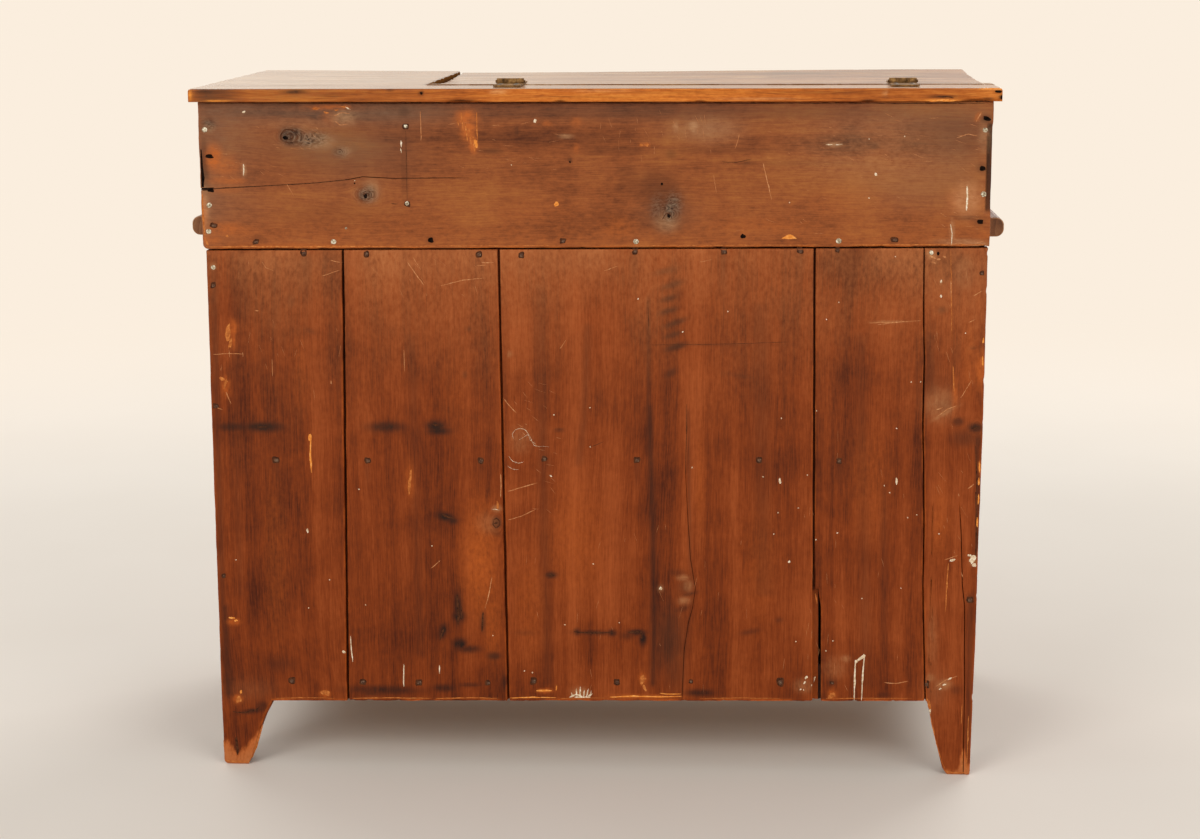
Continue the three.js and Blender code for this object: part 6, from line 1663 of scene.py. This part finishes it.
def stroke(path, wide, height):
    # A ridge along a path: a three-cornered section, sunk at its sides, that tapers to both ends.
    path = np.array(path, float)
    face, plane = faceOf(*path.mean(0))
    x, z = kept(face, *onBack(path, plane))
    reach = np.concatenate([[0], np.cumsum(np.hypot(np.diff(x), np.diff(z)))])
    places = np.linspace(0, reach[-1], max(ridge["fewest"], int(reach[-1] / ridge["step"]) + 1))
    x, z = np.interp(places, reach, x), np.interp(places, reach, z)
    x, z = (a + waver("stroke", places, seed, seed) for a, seed in ((x, 151), (z, 152)))
    aheadX, aheadZ = np.gradient(x), np.gradient(z)
    long = np.hypot(aheadX, aheadZ)
    share = places / reach[-1]
    taper = ridge["end"] + (1 - ridge["end"]) * np.sqrt(np.clip(4 * share * (1 - share), 0, 1))
    half = wide * pixelSize * taper * (1 + ridge["uneven"] * rough(places / ridge["long"], 3, 153))
    sideX, sideZ = -aheadZ / long * half, aheadX / long * half
    left, right = (np.stack([x + side * sideX, seat(face, x + side * sideX, z + side * sideZ) - ridge["sunk"],
                             z + side * sideZ], -1) for side in (1, -1))
    middle = np.stack([x, seat(face, x, z) + height, z], -1)
    n = len(x)
    faces = [(0, n, 2 * n), (3 * n - 1, 2 * n - 1, n - 1)]
    for k in range(n - 1):
        faces += [(k, k + 1, n + k + 1, n + k), (n + k, n + k + 1, 2 * n + k + 1, 2 * n + k),
                  (k + 1, k, 2 * n + k, 2 * n + k + 1)]
    return np.concatenate([left, middle, right]), faces


def buttons(spots, square, ragged, height, rim=0.7):
    return [button(outlineOf(spot, square, ragged, oval["firstSeed"] + k % oval["seeds"]), height, rim)
            for k, spot in enumerate(spots)]


def strokes(lines, height):
    return [stroke(path, wide, height) for path, wide in lines]


def hairScratches():
    # short strokes that lie about the lean of their field, drawn field by field
    draw = np.random.default_rng(hair["seed"])
    low, high = (hair["short"], hair["thin"], -1), (hair["long"], hair["wide"], 1)
    for left, upper, right, lower, count, lean in hairFields:
        for _ in range(count):
            x, y, size, wide, turn = draw.uniform((left, upper, *low), (right, lower, *high))
            angle = math.radians(lean + hair["scatter"] * turn)
            dx, dy = size / 2 * math.cos(angle), size / 2 * math.sin(angle)
            yield ((x - dx, y - dy), (x, y), (x + dx, y + dy)), wide


widthShare, heightShare, shiftRight, shiftDown = headShare
heads = [(x + shiftRight, y + shiftDown, wide * widthShare, high * heightShare, *lean)
         for x, y, wide, high, *lean in nailRecesses]
specks = [*paintSpecks, *((x, y, fineSpeck, fineSpeck) for x, y in fineSpecks)]
onRed, onBrown = "red_washed_pine", "brown_washed_pine"
for name, parts, look, slot in (
    # how square and how ragged the ovals are, and how high they and the strokes stand in millimetres
    ("nail_holes", buttons(nailHoles, 2.6, 0.3, 0.12), "painted_shadow_and_knot_black", onRed),
    ("nail_recesses", buttons(nailRecesses, 4.0, 0.24, 0.12), "rust_stain_and_painted_shade", onRed),
    ("cut_nail_heads", buttons(heads, 4.5, 0.16, 0.5), "cut_nail_iron", "hinge_iron"),
    ("wire_nail_heads", buttons(wireNails, 2, 0.05, 1.0, 0.55), "wire_nail_steel", "screw_steel"),
    ("hair_scratches", strokes(hairScratches(), 0.08), "scratched_pine", onRed),
    ("paint_specks", buttons(specks, 2, 0.45, 0.25), "dried_white_paint", onBrown),
    ("paint_runs", strokes(paintStrokes, 0.3), "dried_white_paint", onBrown),
    ("scratches", strokes(scratches, 0.1), "scratched_pine", onRed),
    ("orange_chips", buttons(orangeChips, 2, 0.5, 0.14) + [button(np.array(halfMoon), 0.1, 0.8)]
     + strokes(brightStrokes, 0.12), "chipped_orange_pine", onRed),
    ("rubbed_patches", buttons(rubbedChips, 2, 0.55, 0.12) + strokes(rubbedStrokes, 0.12), "rubbed_orange_pine", onRed),
    ("dark_cracks_and_shadow_lines", strokes(darkStrokes, 0.1), "rust_stain_and_painted_shade", onRed),
    ("edge_gaps", [button(np.array(outline), 0.06, 0.85) for outline in edgeGaps], "painted_shadow_and_knot_black", onRed),
):
    joined(name, parts, look, slot)
for body, side in (("case", 1), ("lid", -1)):
    screws = [screwHead(x + beside, hinge["axis"] + side * out, hinge["top"], hinge["radius"], hinge["height"])
              for x in hinge["middles"] for beside in hinge["beside"] for out in hinge["out"]]
    joined(body + "_hinge_screws", screws, "dull_screw_steel", "screw_steel", body)
print("nails, paint and scratches made")

# The stage: a plain pale floor, a pale background that only the camera and reflections see, and soft lamps.
stage = {
    "floorHalf": 9.0,
    "floor": "#d9d0c4",
    "floorLight": "#e0d8cd",
    "floorRoughness": 0.85,
    "floorSpecular": 0.2,
    "fadeStart": 1.3,
    "fadeEnd": 3.4,
    "background": "#fbeede",
    "ambient": 0.62,
    "ambientColour": "#ffffff",
    "lamps": (
        # place, aim, size and power in watts
        ((2.6, 4.2, 3.0), (0, 0.2, 0.4), 2.4, 95.0),
        ((-2.8, 3.6, 2.4), (0, 0.2, 0.4), 2.6, 60.0),
        ((-2.2, -3.8, 3.0), (0, -0.2, 0.4), 2.6, 95.0),
        ((2.6, -3.4, 2.2), (0, -0.2, 0.4), 2.6, 50.0),
    ),
}


def floorMaterial():
    # a painted studio floor: matt, with a faint unevenness. Far from the cabinet, rays from the camera see it
    # melt into the background.
    material, tree, shader = blankMaterial("pale_studio_floor")
    place = addNode(tree, "ShaderNodeTexCoord").outputs["Object"]
    uneven = noiseNode(tree, place, 2.0, 3.0)
    colour = blended(tree, uneven, linear(stage["floor"]), linear(stage["floorLight"]))
    tree.links.new(colour, shader.inputs["Base Color"])
    shader.inputs["Roughness"].default_value = stage["floorRoughness"]
    shader.inputs["Specular IOR Level"].default_value = stage["floorSpecular"]
    reach = addNode(tree, "ShaderNodeVectorMath", {0: place}, operation="LENGTH").outputs["Value"]
    far = addNode(tree, "ShaderNodeMapRange", {"Value": reach, "From Min": stage["fadeStart"],
                  "From Max": stage["fadeEnd"]}, interpolation_type="SMOOTHSTEP").outputs[0]
    seen = addNode(tree, "ShaderNodeLightPath").outputs["Is Camera Ray"]
    share = calculated(tree, "MULTIPLY", far, seen)
    glow = addNode(tree, "ShaderNodeEmission", {"Color": linear(stage["background"]), "Strength": 1.0}).outputs[0]
    mixed = addNode(tree, "ShaderNodeMixShader", {0: share, 1: shader.outputs[0], 2: glow}).outputs[0]
    tree.links.new(mixed, tree.nodes["Material Output"].inputs["Surface"])
    return material


def studio():
    half = stage["floorHalf"]
    mesh = bpy.data.meshes.new("floor")
    mesh.from_pydata([(-half, -half, 0), (half, -half, 0), (half, half, 0), (-half, half, 0)], [], [(0, 1, 2, 3)])
    mesh.materials.append(floorMaterial())
    floor = bpy.data.objects.new("floor", mesh)
    scene.collection.objects.link(floor)

    world = bpy.data.worlds.new("studio")
    scene.world = world
    world.use_nodes = True
    tree = world.node_tree
    output = tree.nodes["World Output"]
    seen = addNode(tree, "ShaderNodeLightPath").outputs
    either = calculated(tree, "MAXIMUM", seen["Is Camera Ray"], seen["Is Glossy Ray"])
    either = calculated(tree, "MAXIMUM", either, seen["Is Transmission Ray"])
    ambient, shown = (addNode(tree, "ShaderNodeBackground", {"Color": linear(code), "Strength": strength}).outputs[0]
                      for code, strength in ((stage["ambientColour"], stage["ambient"]), (stage["background"], 1.0)))
    mixed = addNode(tree, "ShaderNodeMixShader", {0: either, 1: ambient, 2: shown}).outputs[0]
    tree.links.new(mixed, output.inputs["Surface"])

    for k, (place, aim, size, power) in enumerate(stage["lamps"]):
        data = bpy.data.lights.new("softbox_%d" % k, "AREA")
        data.size = size
        data.energy = power
        lamp = bpy.data.objects.new("softbox_%d" % k, data)
        lamp.location = place
        lamp.rotation_euler = (Vector(aim) - Vector(place)).to_track_quat("-Z", "Y").to_euler()
        scene.collection.objects.link(lamp)


studio()
scene.view_settings.view_transform = "Standard"
print("stage lit")
